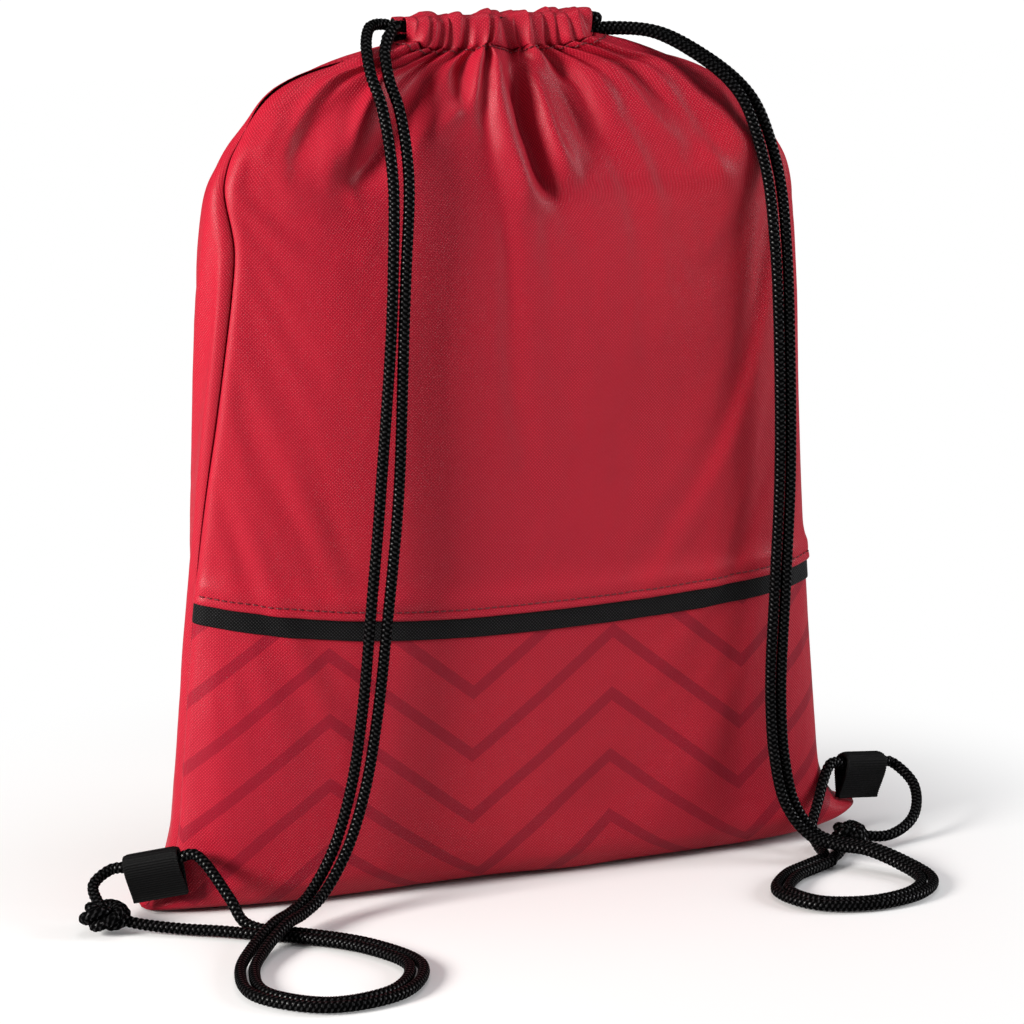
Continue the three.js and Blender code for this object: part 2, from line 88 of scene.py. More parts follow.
MOUTH_HALF = 43.0          # half the length of the gathered mouth
LIP_Y = 6.0                # middle of each casing, front to back
TUNNEL_Z = 382.9           # middle of the casings
CASING_HALF_DEPTH = 3.7
CASING_HALF_HEIGHT = 6.0
CASING_BOTTOM = TUNNEL_Z - CASING_HALF_HEIGHT

TRIM_LOW = 124.0           # height of the trim tape at its lowest point
TRIM_LOW_X = -20.0
TRIM_HALF_SPAN = 146.0
TRIM_RISE_LEFT = 11.0
TRIM_RISE_RIGHT = 5.0
TRIM_REACH = 60.0          # the cloth's lines follow the trim's curve this far above and below it
TAPE_HALF = 4.5            # half the width of the tape that shows
TAPE_TUCK = 3.0            # how far it goes up under the hem
TAPE_THICK = 0.6
TAPE_LIFT = 1.0            # the tape's outer face above the cloth

CORD_R = 2.5
WEBBING = 25.0
WEBBING_THICK = 1.3
TAB_HEIGHT = 21.0

# Levels of the bag from the base up: height of the middle and of the side edge, half width, how far the front
# and the back stand out, and how square the outline is (2 is an ellipse). They follow the CAD panels, but are
# a little narrower at the shoulders.
LEVELS = np.array([
    (0, 0, 172, 8, -8, 5), (0, 0, 171, 20, 16, 5), (3, 3, 168, 31, 26, 4.5), (11, 11, 162, 37, 33, 3.6),
    (28, 28, 157, 40, 36, 3), (70, 70, 153, 43, 38, 2.7), (120, 120, 149, 44, 39, 2.6),
    (165, 165, 146, 44, 39, 2.6), (210, 210, 144, 43, 38, 2.6), (262, 262, 142.5, 41, 36, 2.6),
    (311, 311, 139, 36, 31, 2.5), (331, 331, 130.5, 32, 27, 2.4), (347, 346, 117, 26, 23, 2.3),
    (359, 360, 102, 20, 18, 2.2), (368, 369, 78, 14, 13, 2.1), (375, 376, 43, 10.2, 9, 8),
], float)
TOP_ROW = len(LEVELS) - 1.0

COLUMNS = 112
LINES = 108                # rows of the cloth grid, about 3.8 mm apart
PLEATS = 15                # gathers round each half of the mouth

random = np.random.default_rng(11)


# ---------------- small helpers
def mix(a, b, t):
    return a + (b - a) * t


def smooth(x, low, high):
    t = np.clip((x - low) / (high - low), 0, 1)
    return t * t * (3 - 2 * t)


def unit(v):
    return v / np.maximum(np.linalg.norm(v, axis=-1, keepdims=True), 1e-12)


def along_line(place, run, values):
    """The values, one row for each distance in run, at other distances."""
    return np.stack([np.interp(place, run, column) for column in values.T], -1)


def run_along(points):
    """The distance along a line of points, from its first point to each."""
    return np.concatenate([[0], np.cumsum(np.linalg.norm(np.diff(points, axis=0), axis=1))])


def mesh_object(name, points, faces, material, uv=None, smooth_shading=True):
    """A mesh from points in millimetres. uv holds one pair for each point."""
    mesh = bpy.data.meshes.new(name)
    mesh.from_pydata((np.asarray(points) * MM).tolist(), [], faces)
    mesh.update()
    if uv is not None:
        layer = mesh.uv_layers.new(name="flat")
        corner = np.empty(len(mesh.loops), np.int32)
        mesh.loops.foreach_get("vertex_index", corner)
        layer.data.foreach_set("uv", np.asarray(uv, np.float32)[corner].ravel())
    if smooth_shading:
        mesh.polygons.foreach_set("use_smooth", [True] * len(mesh.polygons))
    made = bpy.data.objects.new(name, mesh)
    made.data.materials.append(material)
    bpy.context.scene.collection.objects.link(made)
    return made


def grid_faces(rows, columns, flip=False, wrap=False, start=0):
    """Quads of a grid stored row by row. wrap joins the last column to the first."""
    faces = []
    for r in range(rows - 1):
        for c in range(columns if wrap else columns - 1):
            d = (c + 1) % columns
            quad = [start + r * columns + c, start + r * columns + d,
                    start + (r + 1) * columns + d, start + (r + 1) * columns + c]
            faces.append(quad[::-1] if flip else quad)
    return faces


def thicken(piece, thickness, levels=1):
    """Gives a sheet its thickness, inwards, and smooths it."""
    solid = piece.modifiers.new("thickness", "SOLIDIFY")
    solid.thickness = thickness * MM
    solid.offset = -1
    solid.use_even_offset = False
    if levels:
        rounding = piece.modifiers.new("smooth", "SUBSURF")
        rounding.levels = levels
        rounding.render_levels = levels


def attach(piece, nodes, bodies=("bag",), share=None):
    """Hides the CAD nodes that a piece stands for, and lets it move with one body or between two. share is
    how far each point follows the second body."""
    if len(bodies) == 1:
        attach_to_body(piece, bodies[0])
    else:
        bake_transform(piece, *bodies, start=(0, 0, 0), end=(0, 0, 1))
        weights = piece.data.attributes["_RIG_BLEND"]
        weights.data.foreach_set("value", np.asarray(share, np.float32))
    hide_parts(*nodes)


# ---------------- the bag's surface
def levels_at(row):
    """The table's columns at fractional rows, by Catmull-Rom."""
    last = len(LEVELS) - 1
    k = np.clip(np.floor(row).astype(int), 0, last - 1)
    t = (row - k)[..., None]
    p0 = LEVELS[np.maximum(k - 1, 0)]
    p1 = LEVELS[k]
    p2 = LEVELS[k + 1]
    p3 = LEVELS[np.minimum(k + 2, last)]
    line = mix(p1, p2, t)
    curve = 0.5 * (2 * p1 + (p2 - p0) * t + (2 * p0 - 5 * p1 + 4 * p2 - p3) * t ** 2
                   + (3 * p1 - p0 - 3 * p2 + p3) * t ** 3)
    at_end = ((k < 3) | (k > last - 2))[..., None]
    value = np.where(at_end, line, curve)
    value[..., 0:2] = np.maximum(value[..., 0:2], 0)
    return np.moveaxis(value, -1, 0)


def seam_line(mid, side):
    """Where the side seams lie front to back, and how far the seam has turned into the slit."""
    slit = smooth(side, *(SLIT_BOTTOM + d for d in SLIT_FADE))
    return mix(mix(BOTTOM_SEAM_Y, SEAM_Y, smooth(mid, 0, SEAM_TURN_HEIGHT)), 0, slit), slit


def bag_point(across, row, facing):
    """Points of the front (facing -1) or back (facing +1) cloth. across is -1 at the left edge, 1 at the
    right."""
    mid, side, half, front, back, square = levels_at(row)
    angle = across * math.pi / 2
    power = 2 / square
    x = np.sign(across) * half * np.abs(np.sin(angle)) ** power
    bulge = np.maximum(np.cos(angle), 0) ** power
    low = np.maximum(0, 1 - mid / CORNER_HEIGHT)
    seam, slit = seam_line(mid, side)
    edge = seam + facing * SLIT_HALF_OPEN * slit
    out = -front if facing < 0 else back
    rightward = np.maximum(x, 0) / CORNER_REACH
    return np.stack([
        x + RIGHT_CORNER_EXTRA * low * rightward ** 3,
        mix(edge, out, bulge),
        mix(mid, side, np.abs(across) ** 3) + RIGHT_CORNER_LIFT * low * rightward ** 8,
    ], -1)


# Heights up the middle of the front, measured along the cloth from the bottom seam.
_fine_rows = np.linspace(0, TOP_ROW, 1501)
_middle = bag_point(np.zeros(_fine_rows.shape), _fine_rows, -1)
_climb = run_along(_middle)
TOP_Q = float(_climb[-1])


def row_at(q):
    return np.interp(q, _climb, _fine_rows)


def climb_at_height(z):
    up = _fine_rows > 1
    return float(np.interp(z, _middle[up, 2], _climb[up]))


TRIM_Q = climb_at_height(TRIM_LOW)
SLIT_Q = climb_at_height(SLIT_BOTTOM)


def seam_round(side):
    """How far round on the front the left seam lies, by height."""
    low, high = SEAM_ROUND_HEIGHTS
    return SEAM_ROUND * smooth(side, low, high) * (1 - smooth(side, high, SLIT_BOTTOM + 4))


def across_table(facing, u):
    """For every tenth fine row, the place across at evenly spaced shares u of the cloth's width. The back
    cloth goes round the left edge as far as the seam: there its place across is below -1."""
    dense = np.sin(np.linspace(-1, 1, 1201) * math.pi / 2)
    table = []
    for row in _fine_rows[::10]:
        extra = float(seam_round(levels_at(np.array([row]))[1][0]))
        runs = {}
        for each in (-1, 1):
            points = bag_point(dense, np.full(dense.shape, row), each)
            runs[each] = run_along(points)
        run = runs[facing]
        if facing < 0:
            table.append(np.interp(extra + (u + 1) / 2 * (run[-1] - extra), run, dense))
        else:
            distance = (u + 1) / 2 * (run[-1] + extra) - extra
            beyond = -2 - np.interp(-distance, runs[-1], dense)
            table.append(np.where(distance < 0, beyond, np.interp(distance, run, dense)))
    return np.array(table)


def trim_rise(x):
    """How much higher than its lowest point the trim runs."""
    left = TRIM_RISE_LEFT * ((x - TRIM_LOW_X) / (TRIM_HALF_SPAN + TRIM_LOW_X)) ** 2
    right = TRIM_RISE_RIGHT * ((x - TRIM_LOW_X) / (TRIM_HALF_SPAN - TRIM_LOW_X)) ** 2
    return np.where(x < TRIM_LOW_X, left, right)


U = np.linspace(-1, 1, COLUMNS + 1)
Q = np.linspace(0, TOP_Q, LINES + 1)
_tables = {facing: across_table(facing, U) for facing in (-1, 1)}
_trim_row = float(row_at(TRIM_Q))
_trim_across = _tables[-1][int(round(_trim_row / TOP_ROW * (len(_tables[-1]) - 1)))]
TRIM_RISE = trim_rise(bag_point(_trim_across, np.full(U.shape, _trim_row), -1)[:, 0])
NEAR_TRIM = np.exp(-((Q - TRIM_Q) / TRIM_REACH) ** 2)


def plain_sheet(facing):
    """The smooth cloth: an array of lines by columns of points. The lines bend to follow the trim."""
    table = _tables[facing]
    rows = row_at(Q[:, None] + TRIM_RISE[None, :] * NEAR_TRIM[:, None])
    place = rows / TOP_ROW * (len(table) - 1)
    k = np.clip(np.floor(place).astype(int), 0, len(table) - 2)
    columns = np.arange(COLUMNS + 1)[None, :]
    across = mix(table[k, columns], table[k + 1, columns], place - k)
    beyond = across < -1
    here = bag_point(np.maximum(across, -1), rows, facing)
    round_the_edge = bag_point(np.where(beyond, -2 - across, -1), rows, -facing)
    return np.where(beyond[..., None], round_the_edge, here)


def sheet_normals(sheet, facing):
    du = np.gradient(sheet, axis=1)
    dq = np.gradient(sheet, axis=0)
    return unit(np.cross(du, dq) * -facing)


# ---------------- folds
# Folds of the front below the mouth: height (minus is a valley), half width at the top and at the bottom, the
# share of the fold where it begins to fade, and its line in x and z.
FOLDS = [
    (6.5, 9, 13, 0.75, [(-30, 389), (-50, 371), (-68, 352), (-86, 332), (-93, 320)]),
    (-8.0, 6, 8, 0.85, [(-23, 389), (-41, 359), (-60, 340), (-80, 320)]),
    (3.0, 7, 8, 0.6, [(-20, 389), (-30, 362), (-40, 345)]),
    (-5.5, 3.5, 3.5, 0.7, [(-17, 389), (-21, 362), (-25, 346)]),
    (5.0, 4, 4, 0.6, [(-10, 389), (-13, 369), (-20, 354), (-36, 344), (-54, 333)]),
    (6.0, 5.5, 9, 0.75, [(0, 389), (-3, 371), (-7, 356), (-4, 337), (4, 318), (14, 304)]),
    (-11.0, 6.5, 5, 0.85, [(8, 389), (6, 364), (5, 345), (10, 325), (17, 311)]),
    (5.0, 4.5, 8, 0.75, [(15, 389), (13, 360), (17, 338), (27, 316)]),
    (-6.0, 5, 8, 0.7, [(20, 389), (24, 366), (31, 347), (39, 326)]),
    (7.0, 8, 14, 0.7, [(28, 389), (47, 367), (64, 353), (87, 331), (114, 300)]),
    (-6.0, 6, 10, 0.7, [(40, 384), (61, 359), (85, 339), (106, 320)]),
    (5.5, 7, 12, 0.7, [(50, 380), (74, 362), (100, 341), (126, 310)]),
    (-4.5, 6, 10, 0.7, [(-38, 384), (-62, 366), (-90, 348), (-110, 328)]),
    (4.5, 7, 13, 0.7, [(-46, 382), (-75, 366), (-105, 348), (-128, 322)]),
]
# Soft dents and swellings of the body, seen from the front: height, radius and middle.
FRONT_DENTS = [
    (-2.5, 30, (-128, 214)), (-2.2, 26, (-140, 128)), (2.0, 40, (-60, 250)), (-1.8, 34, (66, 208)),
    (-2.6, 22, (42, 36)), (2.6, 22, (26, 16)), (2.2, 20, (88, 54)), (-2.0, 26, (-30, 66)),
    (1.8, 24, (-78, 40)),
]
BACK_DENTS = [
    (-3.0, 42, (40, 240)), (2.0, 36, (-40, 180)), (-2.4, 30, (-90, 90)), (2.2, 30, (70, 100)),
    (-2.0, 28, (0, 50)),
]
FOLD_EDGE = 1.55           # 2 is a soft fold, 1 a sharp one
VALLEY_CLOSE = 0.72        # the valleys get this much shallower towards the cords
VALLEY_CLOSE_HEIGHTS = (350.0, 376.0)


def fold_height(x, z, amount, top_width, low_width, fade_from, line):
    """A rounded crest or valley along a line, fading at its lower end."""
    points = np.array(line, float)
    best = np.full(x.shape, 1e9)
    share = np.zeros(x.shape)
    run = run_along(points)
    run = run / run[-1]
    for a, b, s0, s1 in zip(points[:-1], points[1:], run[:-1], run[1:]):
        d = b - a
        t = np.clip(((x - a[0]) * d[0] + (z - a[1]) * d[1]) / (d @ d), 0, 1)
        away = np.hypot(x - a[0] - t * d[0], z - a[1] - t * d[1])
        nearer = away < best
        best = np.where(nearer, away, best)
        share = np.where(nearer, mix(s0, s1, t), share)
    fade = 1 - smooth(share, fade_from, 1.05)
    spread = mix(top_width, low_width, share)
    if amount < 0:
        fade = fade * (1 - VALLEY_CLOSE * smooth(z, *VALLEY_CLOSE_HEIGHTS))
    return amount * fade * np.exp(-(best / spread) ** FOLD_EDGE)


def dent_height(x, z, dents):
    """How far soft dents push the cloth out."""
    return sum(h * np.exp(-((x - cx) ** 2 + (z - cz) ** 2) / r ** 2) for h, r, (cx, cz) in dents)


class Gathers:
    """Irregular pleats round one half of the mouth: their height and their reach down, by place across."""

    def __init__(self):
        steps = random.uniform(0.6, 1.5, 2 * PLEATS)
        self.at = np.concatenate([[0], np.cumsum(steps)]) / steps.sum() * 2 - 1
        sign = np.where(np.arange(2 * PLEATS + 1) % 2, 1.0, -1.0)
        self.height = sign * random.uniform(0.5, 1.0, 2 * PLEATS + 1)
        self.reach = random.uniform(14, 60, 2 * PLEATS + 1)

    def _between(self, u, values):
        k = np.clip(np.searchsorted(self.at, u, side="right") - 1, 0, 2 * PLEATS - 1)
        t = smooth(u, self.at[k], self.at[k + 1])
        return mix(values[k], values[k + 1], t)

    def crest(self, u):
        return self._between(u, self.height)

    def fade(self, u, below):
        """1 at the mouth, less with the distance below it."""
        return np.exp(-(below / self._between(u, self.reach)) ** 1.3)


GATHERS = {-1: Gathers(), 1: Gathers()}
GATHER_DEPTH = {-1: 2.7, 1: 3.6}
GATHER_EDGE = 0.12         # share of the half width beside a seam where gathers and folds fade in
BASE_FADE = 30.0           # and where they fade in above the bottom seam
SEAM_SWELL = 1.1           # next to a seam the cloth swells a little ...
SWELL_PLACE = 5.5
SWELL_WIDTH = 3.6
SEAM_PINCH = 1.1           # ... before it turns in to the stitches
PINCH_WIDTH = 1.5
HEM_WIDTH = 7.0            # folded hem along each slit
HEM_LIFT = 1.1
HEM_END = 12.0             # the hem runs out this far below the casing
_wander = random.uniform(0, 2 * math.pi, (2, 5))


def unevenness(x, z, facing):
    """Slow waves of the cloth, up to one millimetre high."""
    phase = _wander[0 if facing < 0 else 1]
    waves = np.sin(x / 23 + z / 41 + phase[0]) + np.sin(x / 37 - z / 29 + phase[1])
    waves += np.sin(x / 61 + z / 17 + phase[2]) * 0.6 + np.sin(x / 13 - z / 47 + phase[3]) * 0.4
    return 0.32 * waves


def shaped_sheet(facing):
    """The cloth with its gathers, folds, dents and pinched seams."""
    sheet = plain_sheet(facing)
    normals = sheet_normals(sheet, facing)
    x = sheet[..., 0]
    z = sheet[..., 2]
    u = np.broadcast_to(U[None, :], x.shape)
    below = np.maximum(TOP_Q - Q, 0)[:, None] * np.ones_like(x)
    gathers = GATHERS[facing]
    lift = GATHER_DEPTH[facing] * gathers.crest(u) * gathers.fade(u, below)
    if facing < 0:
        for fold in FOLDS:
            lift = lift + fold_height(x, z, *fold)
    lift = lift + dent_height(x, z, FRONT_DENTS if facing < 0 else BACK_DENTS)
    lift = lift + unevenness(x, z, facing)
    away_from_edge = smooth(1 - np.abs(u), 0, GATHER_EDGE)
    low = smooth(Q, 0, BASE_FADE)[:, None]
    half_run = np.linalg.norm(np.diff(sheet, axis=1), axis=2).sum(axis=1)[:, None] / 2
    from_seam = (1 - np.abs(u)) * half_run
    swell = SEAM_SWELL * np.exp(-((from_seam - SWELL_PLACE) / SWELL_WIDTH) ** 2) * low
    swell = swell - SEAM_PINCH * np.exp(-(from_seam / PINCH_WIDTH) ** 2) * low
    # Above the seams the edge is a folded hem, thicker than the cloth beside it.
    slit = smooth(Q, SLIT_Q - 8, SLIT_Q + 4)[:, None]
    hem = HEM_LIFT * (1 - smooth(from_seam, HEM_WIDTH - 1.5, HEM_WIDTH + 1))
    hem = hem * (1 - smooth(Q, TOP_Q - HEM_END, TOP_Q)[:, None])
    swell = mix(swell, hem, slit)
    return sheet + normals * (lift * away_from_edge * low + swell)[..., None]


# ---------------- cloth simulation
SIM_FRAMES = 24
SIM_CAP = 9.0              # the furthest a point may move, in millimetres
GATHER_SLACK = 0.10        # extra cloth across the gathered top
BODY_SLACK = 0.012         # extra cloth elsewhere
LEAST_HOLD = 0.12          # how firmly the free cloth is kept near its shape; 1 doesn't move at all
SEAM_HOLD = 0.9
CLOTH_SETTINGS = {
    "quality": 6, "mass": 0.08, "vertex_group_mass": "hold", "pin_stiffness": 1.0,
    "tension_stiffness": 25, "compression_stiffness": 25, "shear_stiffness": 8, "bending_stiffness": 2.2,
    "tension_damping": 8, "compression_damping": 8, "bending_damping": 2, "air_damping": 2,
    "use_pressure": True, "uniform_pressure_force": 0.6,
}
GRAVITY_SHARE = 0.3


def bag_topology():
    """The number of each grid point by side, the faces of the closed bag, and how many points it has."""
    columns = COLUMNS + 1
    front = np.arange((LINES + 1) * columns).reshape(LINES + 1, columns)
    back = front + front.size
    sewn = Q <= SLIT_Q
    back[sewn, 0] = front[sewn, 0]
    back[sewn, -1] = front[sewn, -1]
    back[0, :] = front[0, :]
    used, packed = np.unique(np.concatenate([front.ravel(), back.ravel()]), return_inverse=True)
    packed = packed.ravel()
    ids = {-1: packed[: front.size].reshape(front.shape), 1: packed[front.size:].reshape(front.shape)}
    faces = []
    for facing in (-1, 1):
        numbers = ids[facing].ravel().tolist()
        for quad in grid_faces(LINES + 1, COLUMNS + 1, flip=facing > 0):
            faces.append([numbers[i] for i in quad])
    return ids, faces, len(used)


def loose_sheet(sheet):
    """The same cloth with the slack that lets it buckle."""
    near_top = smooth(Q, TOP_Q - 130, TOP_Q - 10)[:, None]
    loose = sheet.copy()
    loose[..., 0] *= 1 + (BODY_SLACK + GATHER_SLACK * near_top)
    loose[..., 2] *= 1 + BODY_SLACK
    return loose


def hold_weights():
    """How firmly each point is kept in place: fully at the base and the mouth, nearly so at the seams."""
    edge = 1 - smooth(1 - np.abs(U), 0, 0.05)[None, :]
    floor = 1 - smooth(Q, 4, 26)[:, None]
    mouth = smooth(Q, TOP_Q - 14, TOP_Q - 4)[:, None]
    grip = np.maximum(np.maximum(edge * SEAM_HOLD, floor), mouth)
    return np.maximum(grip, LEAST_HOLD)


def settle(sheets):
    """The sheets after a short simulation of the cloth, which lets them buckle and settle."""
    ids, faces, count = bag_topology()
    start = np.zeros((count, 3))
    slack = np.zeros((count, 3))
    hold = np.zeros(count)
    for facing in (1, -1):
        start[ids[facing]] = sheets[facing]
        slack[ids[facing]] = loose_sheet(sheets[facing])
        hold[ids[facing]] = hold_weights()
    body = mesh_object("settling", start, faces, bpy.data.materials.new("settling"))
    body.shape_key_add(name="Basis")
    rest = body.shape_key_add(name="slack")
    rest.data.foreach_set("co", (slack * MM).astype(np.float32).ravel())
    rest.value = 0
    group = body.vertex_groups.new(name="hold")
    for i, weight in enumerate(hold):
        group.add([i], float(weight), "REPLACE")
    cloth = body.modifiers.new("cloth", "CLOTH")
    for key, value in CLOTH_SETTINGS.items():
        setattr(cloth.settings, key, value)
    cloth.settings.rest_shape_key = rest
    cloth.settings.effector_weights.gravity = GRAVITY_SHARE
    cloth.collision_settings.use_collision = False
    cloth.point_cache.frame_start = 1
    cloth.point_cache.frame_end = SIM_FRAMES
    scene = bpy.context.scene
    scene.frame_start = 1
    scene.frame_end = SIM_FRAMES
    for number in range(1, SIM_FRAMES + 1):
        scene.frame_set(number)
    settled = body.evaluated_get(bpy.context.evaluated_depsgraph_get())
    flat = np.empty(count * 3, np.float32)
    settled.data.vertices.foreach_get("co", flat)
    moved = flat.reshape(-1, 3).astype(float) / MM - start
    length = np.linalg.norm(moved, axis=1, keepdims=True)
    print("cloth: mean move %.2f mm, largest %.2f mm" % (length.mean(), length.max()))
    moved *= np.minimum(1, SIM_CAP / np.maximum(length, 1e-9))
    final = start + moved
    final[:, 2] = np.maximum(final[:, 2], 0)
    bpy.data.objects.remove(body)
    scene.frame_set(1)
    return {facing: final[ids[facing]] for facing in (-1, 1)}


SHEETS = {facing: shaped_sheet(facing) for facing in (-1, 1)}
for _edge in (0, -1):
    SHEETS[1][Q <= SLIT_Q, _edge] = SHEETS[-1][Q <= SLIT_Q, _edge]
SHEETS = settle(SHEETS)
NORMALS = {facing: sheet_normals(SHEETS[facing], facing) for facing in (-1, 1)}


def cloth_distances(sheet):
    """Distances along the cloth from its middle, across and up, for the weave and the print."""
    steps = np.linalg.norm(np.diff(sheet, axis=1), axis=2)
    run = np.concatenate([np.zeros((len(sheet), 1)), np.cumsum(steps, axis=1)], axis=1)
    return run - run[:, COLUMNS // 2: COLUMNS // 2 + 1]


DISTANCES = {facing: cloth_distances(SHEETS[facing]) for facing in (-1, 1)}
TOP_X = np.clip(SHEETS[-1][-1, :, 0], -MOUTH_HALF, MOUTH_HALF)


def line_at(array, q):
    """Values of a grid array at every column, at one height up the cloth."""
    place = min(max(q / TOP_Q * LINES, 0), LINES - 1e-6)
    i = int(place)
    return mix(array[i], array[i + 1], place - i)


# ---------------- materials
class Shader:
    """The node tree of a material or world, with short ways to add nodes and join them."""

    def __init__(self, owner):
        self.owner = owner
        owner.use_nodes = True
        self.tree = owner.node_tree
        self.surface = self.tree.nodes.get("Principled BSDF")

    def join(self, node, **inputs):
        """Sets a node's inputs, or links them where the value is another node's output. An underscore stands
        for a space, and in0, in1 ... go by number."""
        for key, value in inputs.items():
            socket = node.inputs[int(key[2:]) if key[:2] == "in" else key.replace("_", " ")]
            if isinstance(value, bpy.types.NodeSocket):
                self.tree.links.new(value, socket)
            else:
                socket.default_value = value

    def add(self, kind, settings=(), **inputs):
        """Adds a node and returns its outputs."""
        made = self.tree.nodes.new("ShaderNode" + kind)
        for key, value in dict(settings).items():
            setattr(made, key, value)
        self.join(made, **inputs)
        return made.outputs

    def math(self, operation, a, b=0.0):
        return self.add("Math", {"operation": operation}, in0=a, in1=b)[0]

    def uv(self):
        """The flat-pattern distances in millimetres, across and up."""
        flat = self.add("UVMap", {"uv_map": "flat"})[0]
        return self.add("SeparateXYZ", in0=flat)[:2]

    def noise(self, vector, scale, detail=2.0, roughness=0.5):
        inputs = {"Vector": vector, "Scale": scale, "Detail": detail, "Roughness": roughness}
        return self.add("TexNoise", **inputs)["Fac"]

    def object_place(self):
        return self.add("TexCoord")["Object"]

    def range(self, value, low, high, to_low, to_high):
        limits = {"From_Min": low, "From_Max": high, "To_Min": to_low, "To_Max": to_high}
        return self.add("MapRange", {"interpolation_type": "SMOOTHSTEP"}, Value=value, **limits)["Result"]

    def colours(self, factor, first, second):
        return self.add("Mix", {"data_type": "RGBA"}, Factor=factor, A=first, B=second)["Result"]

    def finish(self, colour, roughness, height, depth):
        """Joins colour, roughness and a bump that is depth millimetres deep."""
        bump = self.add("Bump", Distance=depth * MM, Height=height)[0]
        self.join(self.surface, Base_Color=colour, Roughness=roughness, Normal=bump)
        return self.owner


EMBOSS_PITCH = 1.5         # distance between embossed points, across or up
EMBOSS_DEPTH = 0.22
POINT_EDGES = (0.42, 0.88)   # of the lattice's height: where a point begins, and where it is full
CHEVRON_HALF = 67.0        # from a valley of the zigzag to the next peak
CHEVRON_RISE = 52.0
CHEVRON_PITCH = 29.5       # from one zigzag to the next
CHEVRON_WIDTH = 5.2
CHEVRON_BLUR = 0.25        # softness of the print's edge
CHEVRON_VALLEY = (-160.5, 87.0)   # one valley of the print: distance across and up the cloth
RED = (0.41, 0.004, 0.020, 1)
RED_WARM = (0.48, 0.006, 0.019, 1)
RED_DEEP = (0.33, 0.001, 0.018, 1)
# Painted glint: the red cloth's pressed points are painted this much lighter.
RED_POINT_GLINT = (0.72, 0.032, 0.068, 1)
PRINT = (0.29, 0.0003, 0.016, 1)
INK_COVER = 0.65           # how far the print hides the embossed points' painted glint
BLACK = (0.0010, 0.0010, 0.0012, 1)
BLACK_WARM = (0.0016, 0.0016, 0.0018, 1)
# Painted glint: the black trim's pressed points are painted lighter.
BLACK_POINT_GLINT = (0.045, 0.045, 0.048, 1)
# Painted shade in the braid's grooves and painted highlight on its crests.
CORD_GROOVE_SHADE = (0.0006, 0.0006, 0.0007, 1)
CORD_CREST_HIGHLIGHT = (0.006, 0.006, 0.007, 1)
WEB_DARK = (0.0015, 0.0015, 0.0016, 1)
WEB_PALE = (0.0035, 0.0035, 0.0038, 1)
# Painted highlight on the raised half of each rib of the webbing.
WEB_RIB_HIGHLIGHT = (0.007, 0.007, 0.008, 1)
# Painted shade in the thread's twist grooves and painted highlight on its ridges.
THREAD_GROOVE_SHADE = (0.09, 0.001, 0.006, 1)
THREAD_RIDGE_HIGHLIGHT = (0.21, 0.003, 0.012, 1)
RIB_PITCH = 1.15
RIB_THREAD = 0.55          # distance between the threads along a rib
CREST = "crest"            # point attribute of the cords: 1 on top of a strand of the braid, 0 in a groove


def cloth_material(name, base, second, deep, point, printed=False, specular=0.27, point_glint_share=0.8):
    """Embossed non-woven cloth: rows of pressed points between puffed fibres; the points are painted lighter
    as a painted glint.
    """
    s = Shader(bpy.data.materials.new(name))
    across, up = s.uv()
    turn = math.pi / EMBOSS_PITCH
    rising = s.math("SINE", s.math("MULTIPLY", s.math("ADD", across, up), turn))
    falling = s.math("SINE", s.math("MULTIPLY", s.math("SUBTRACT", across, up), turn))
    lattice = s.math("ABSOLUTE", s.math("MULTIPLY", rising, falling))
    points = s.range(lattice, *POINT_EDGES, 0.0, 1.0)
    fibres = s.noise(s.add("CombineXYZ", in0=across, in1=up)[0], 2.6, 4.0, 0.7)
    patches = s.noise(s.object_place(), 14.0, 3.0, 0.55)
    slow = s.noise(s.object_place(), 4.0, 1.0)
    colour = s.colours(s.range(slow, 0.35, 0.65, 0.0, 1.0), base, second)
    colour = s.colours(s.range(patches, 0.3, 0.8, 0.0, 0.35), colour, deep)
    point_glints = s.math("MULTIPLY", points, point_glint_share)
    if printed:
        # A zigzag: the height of the line above its valley goes up and down with the distance across.
        x = s.math("SUBTRACT", across, CHEVRON_VALLEY[0])
        saw = s.math("PINGPONG", x, CHEVRON_HALF)
        line = s.math("MULTIPLY", saw, CHEVRON_RISE / CHEVRON_HALF)
        y = s.math("SUBTRACT", s.math("SUBTRACT", up, CHEVRON_VALLEY[1]), line)
        near = s.math("PINGPONG", y, CHEVRON_PITCH / 2)
        slant = math.cos(math.atan2(CHEVRON_RISE, CHEVRON_HALF))
        half = CHEVRON_WIDTH / 2 / slant
        ragged = s.math("MULTIPLY", s.math("SUBTRACT", fibres, 0.5), 0.9)
        mask = s.range(s.math("ADD", near, ragged), half - CHEVRON_BLUR, half + CHEVRON_BLUR, 1.0, 0.0)
        colour = s.colours(s.math("MULTIPLY", mask, 0.9), colour, PRINT)
        point_glints = s.math("MULTIPLY", point_glints, s.math("SUBTRACT", 1.0, s.math("MULTIPLY", mask, INK_COVER)))
    # The pressed points are painted lighter here: a painted glint.
    colour = s.colours(point_glints, colour, point)
    roughness = s.range(fibres, 0.2, 0.8, 0.42, 0.52)
    roughness = s.math("SUBTRACT", roughness, s.math("MULTIPLY", points, 0.18))
    height = s.math("ADD", points, s.math("MULTIPLY", fibres, 0.35))
    s.join(s.surface, Specular_IOR_Level=specular)
    return s.finish(colour, roughness, height, EMBOSS_DEPTH)


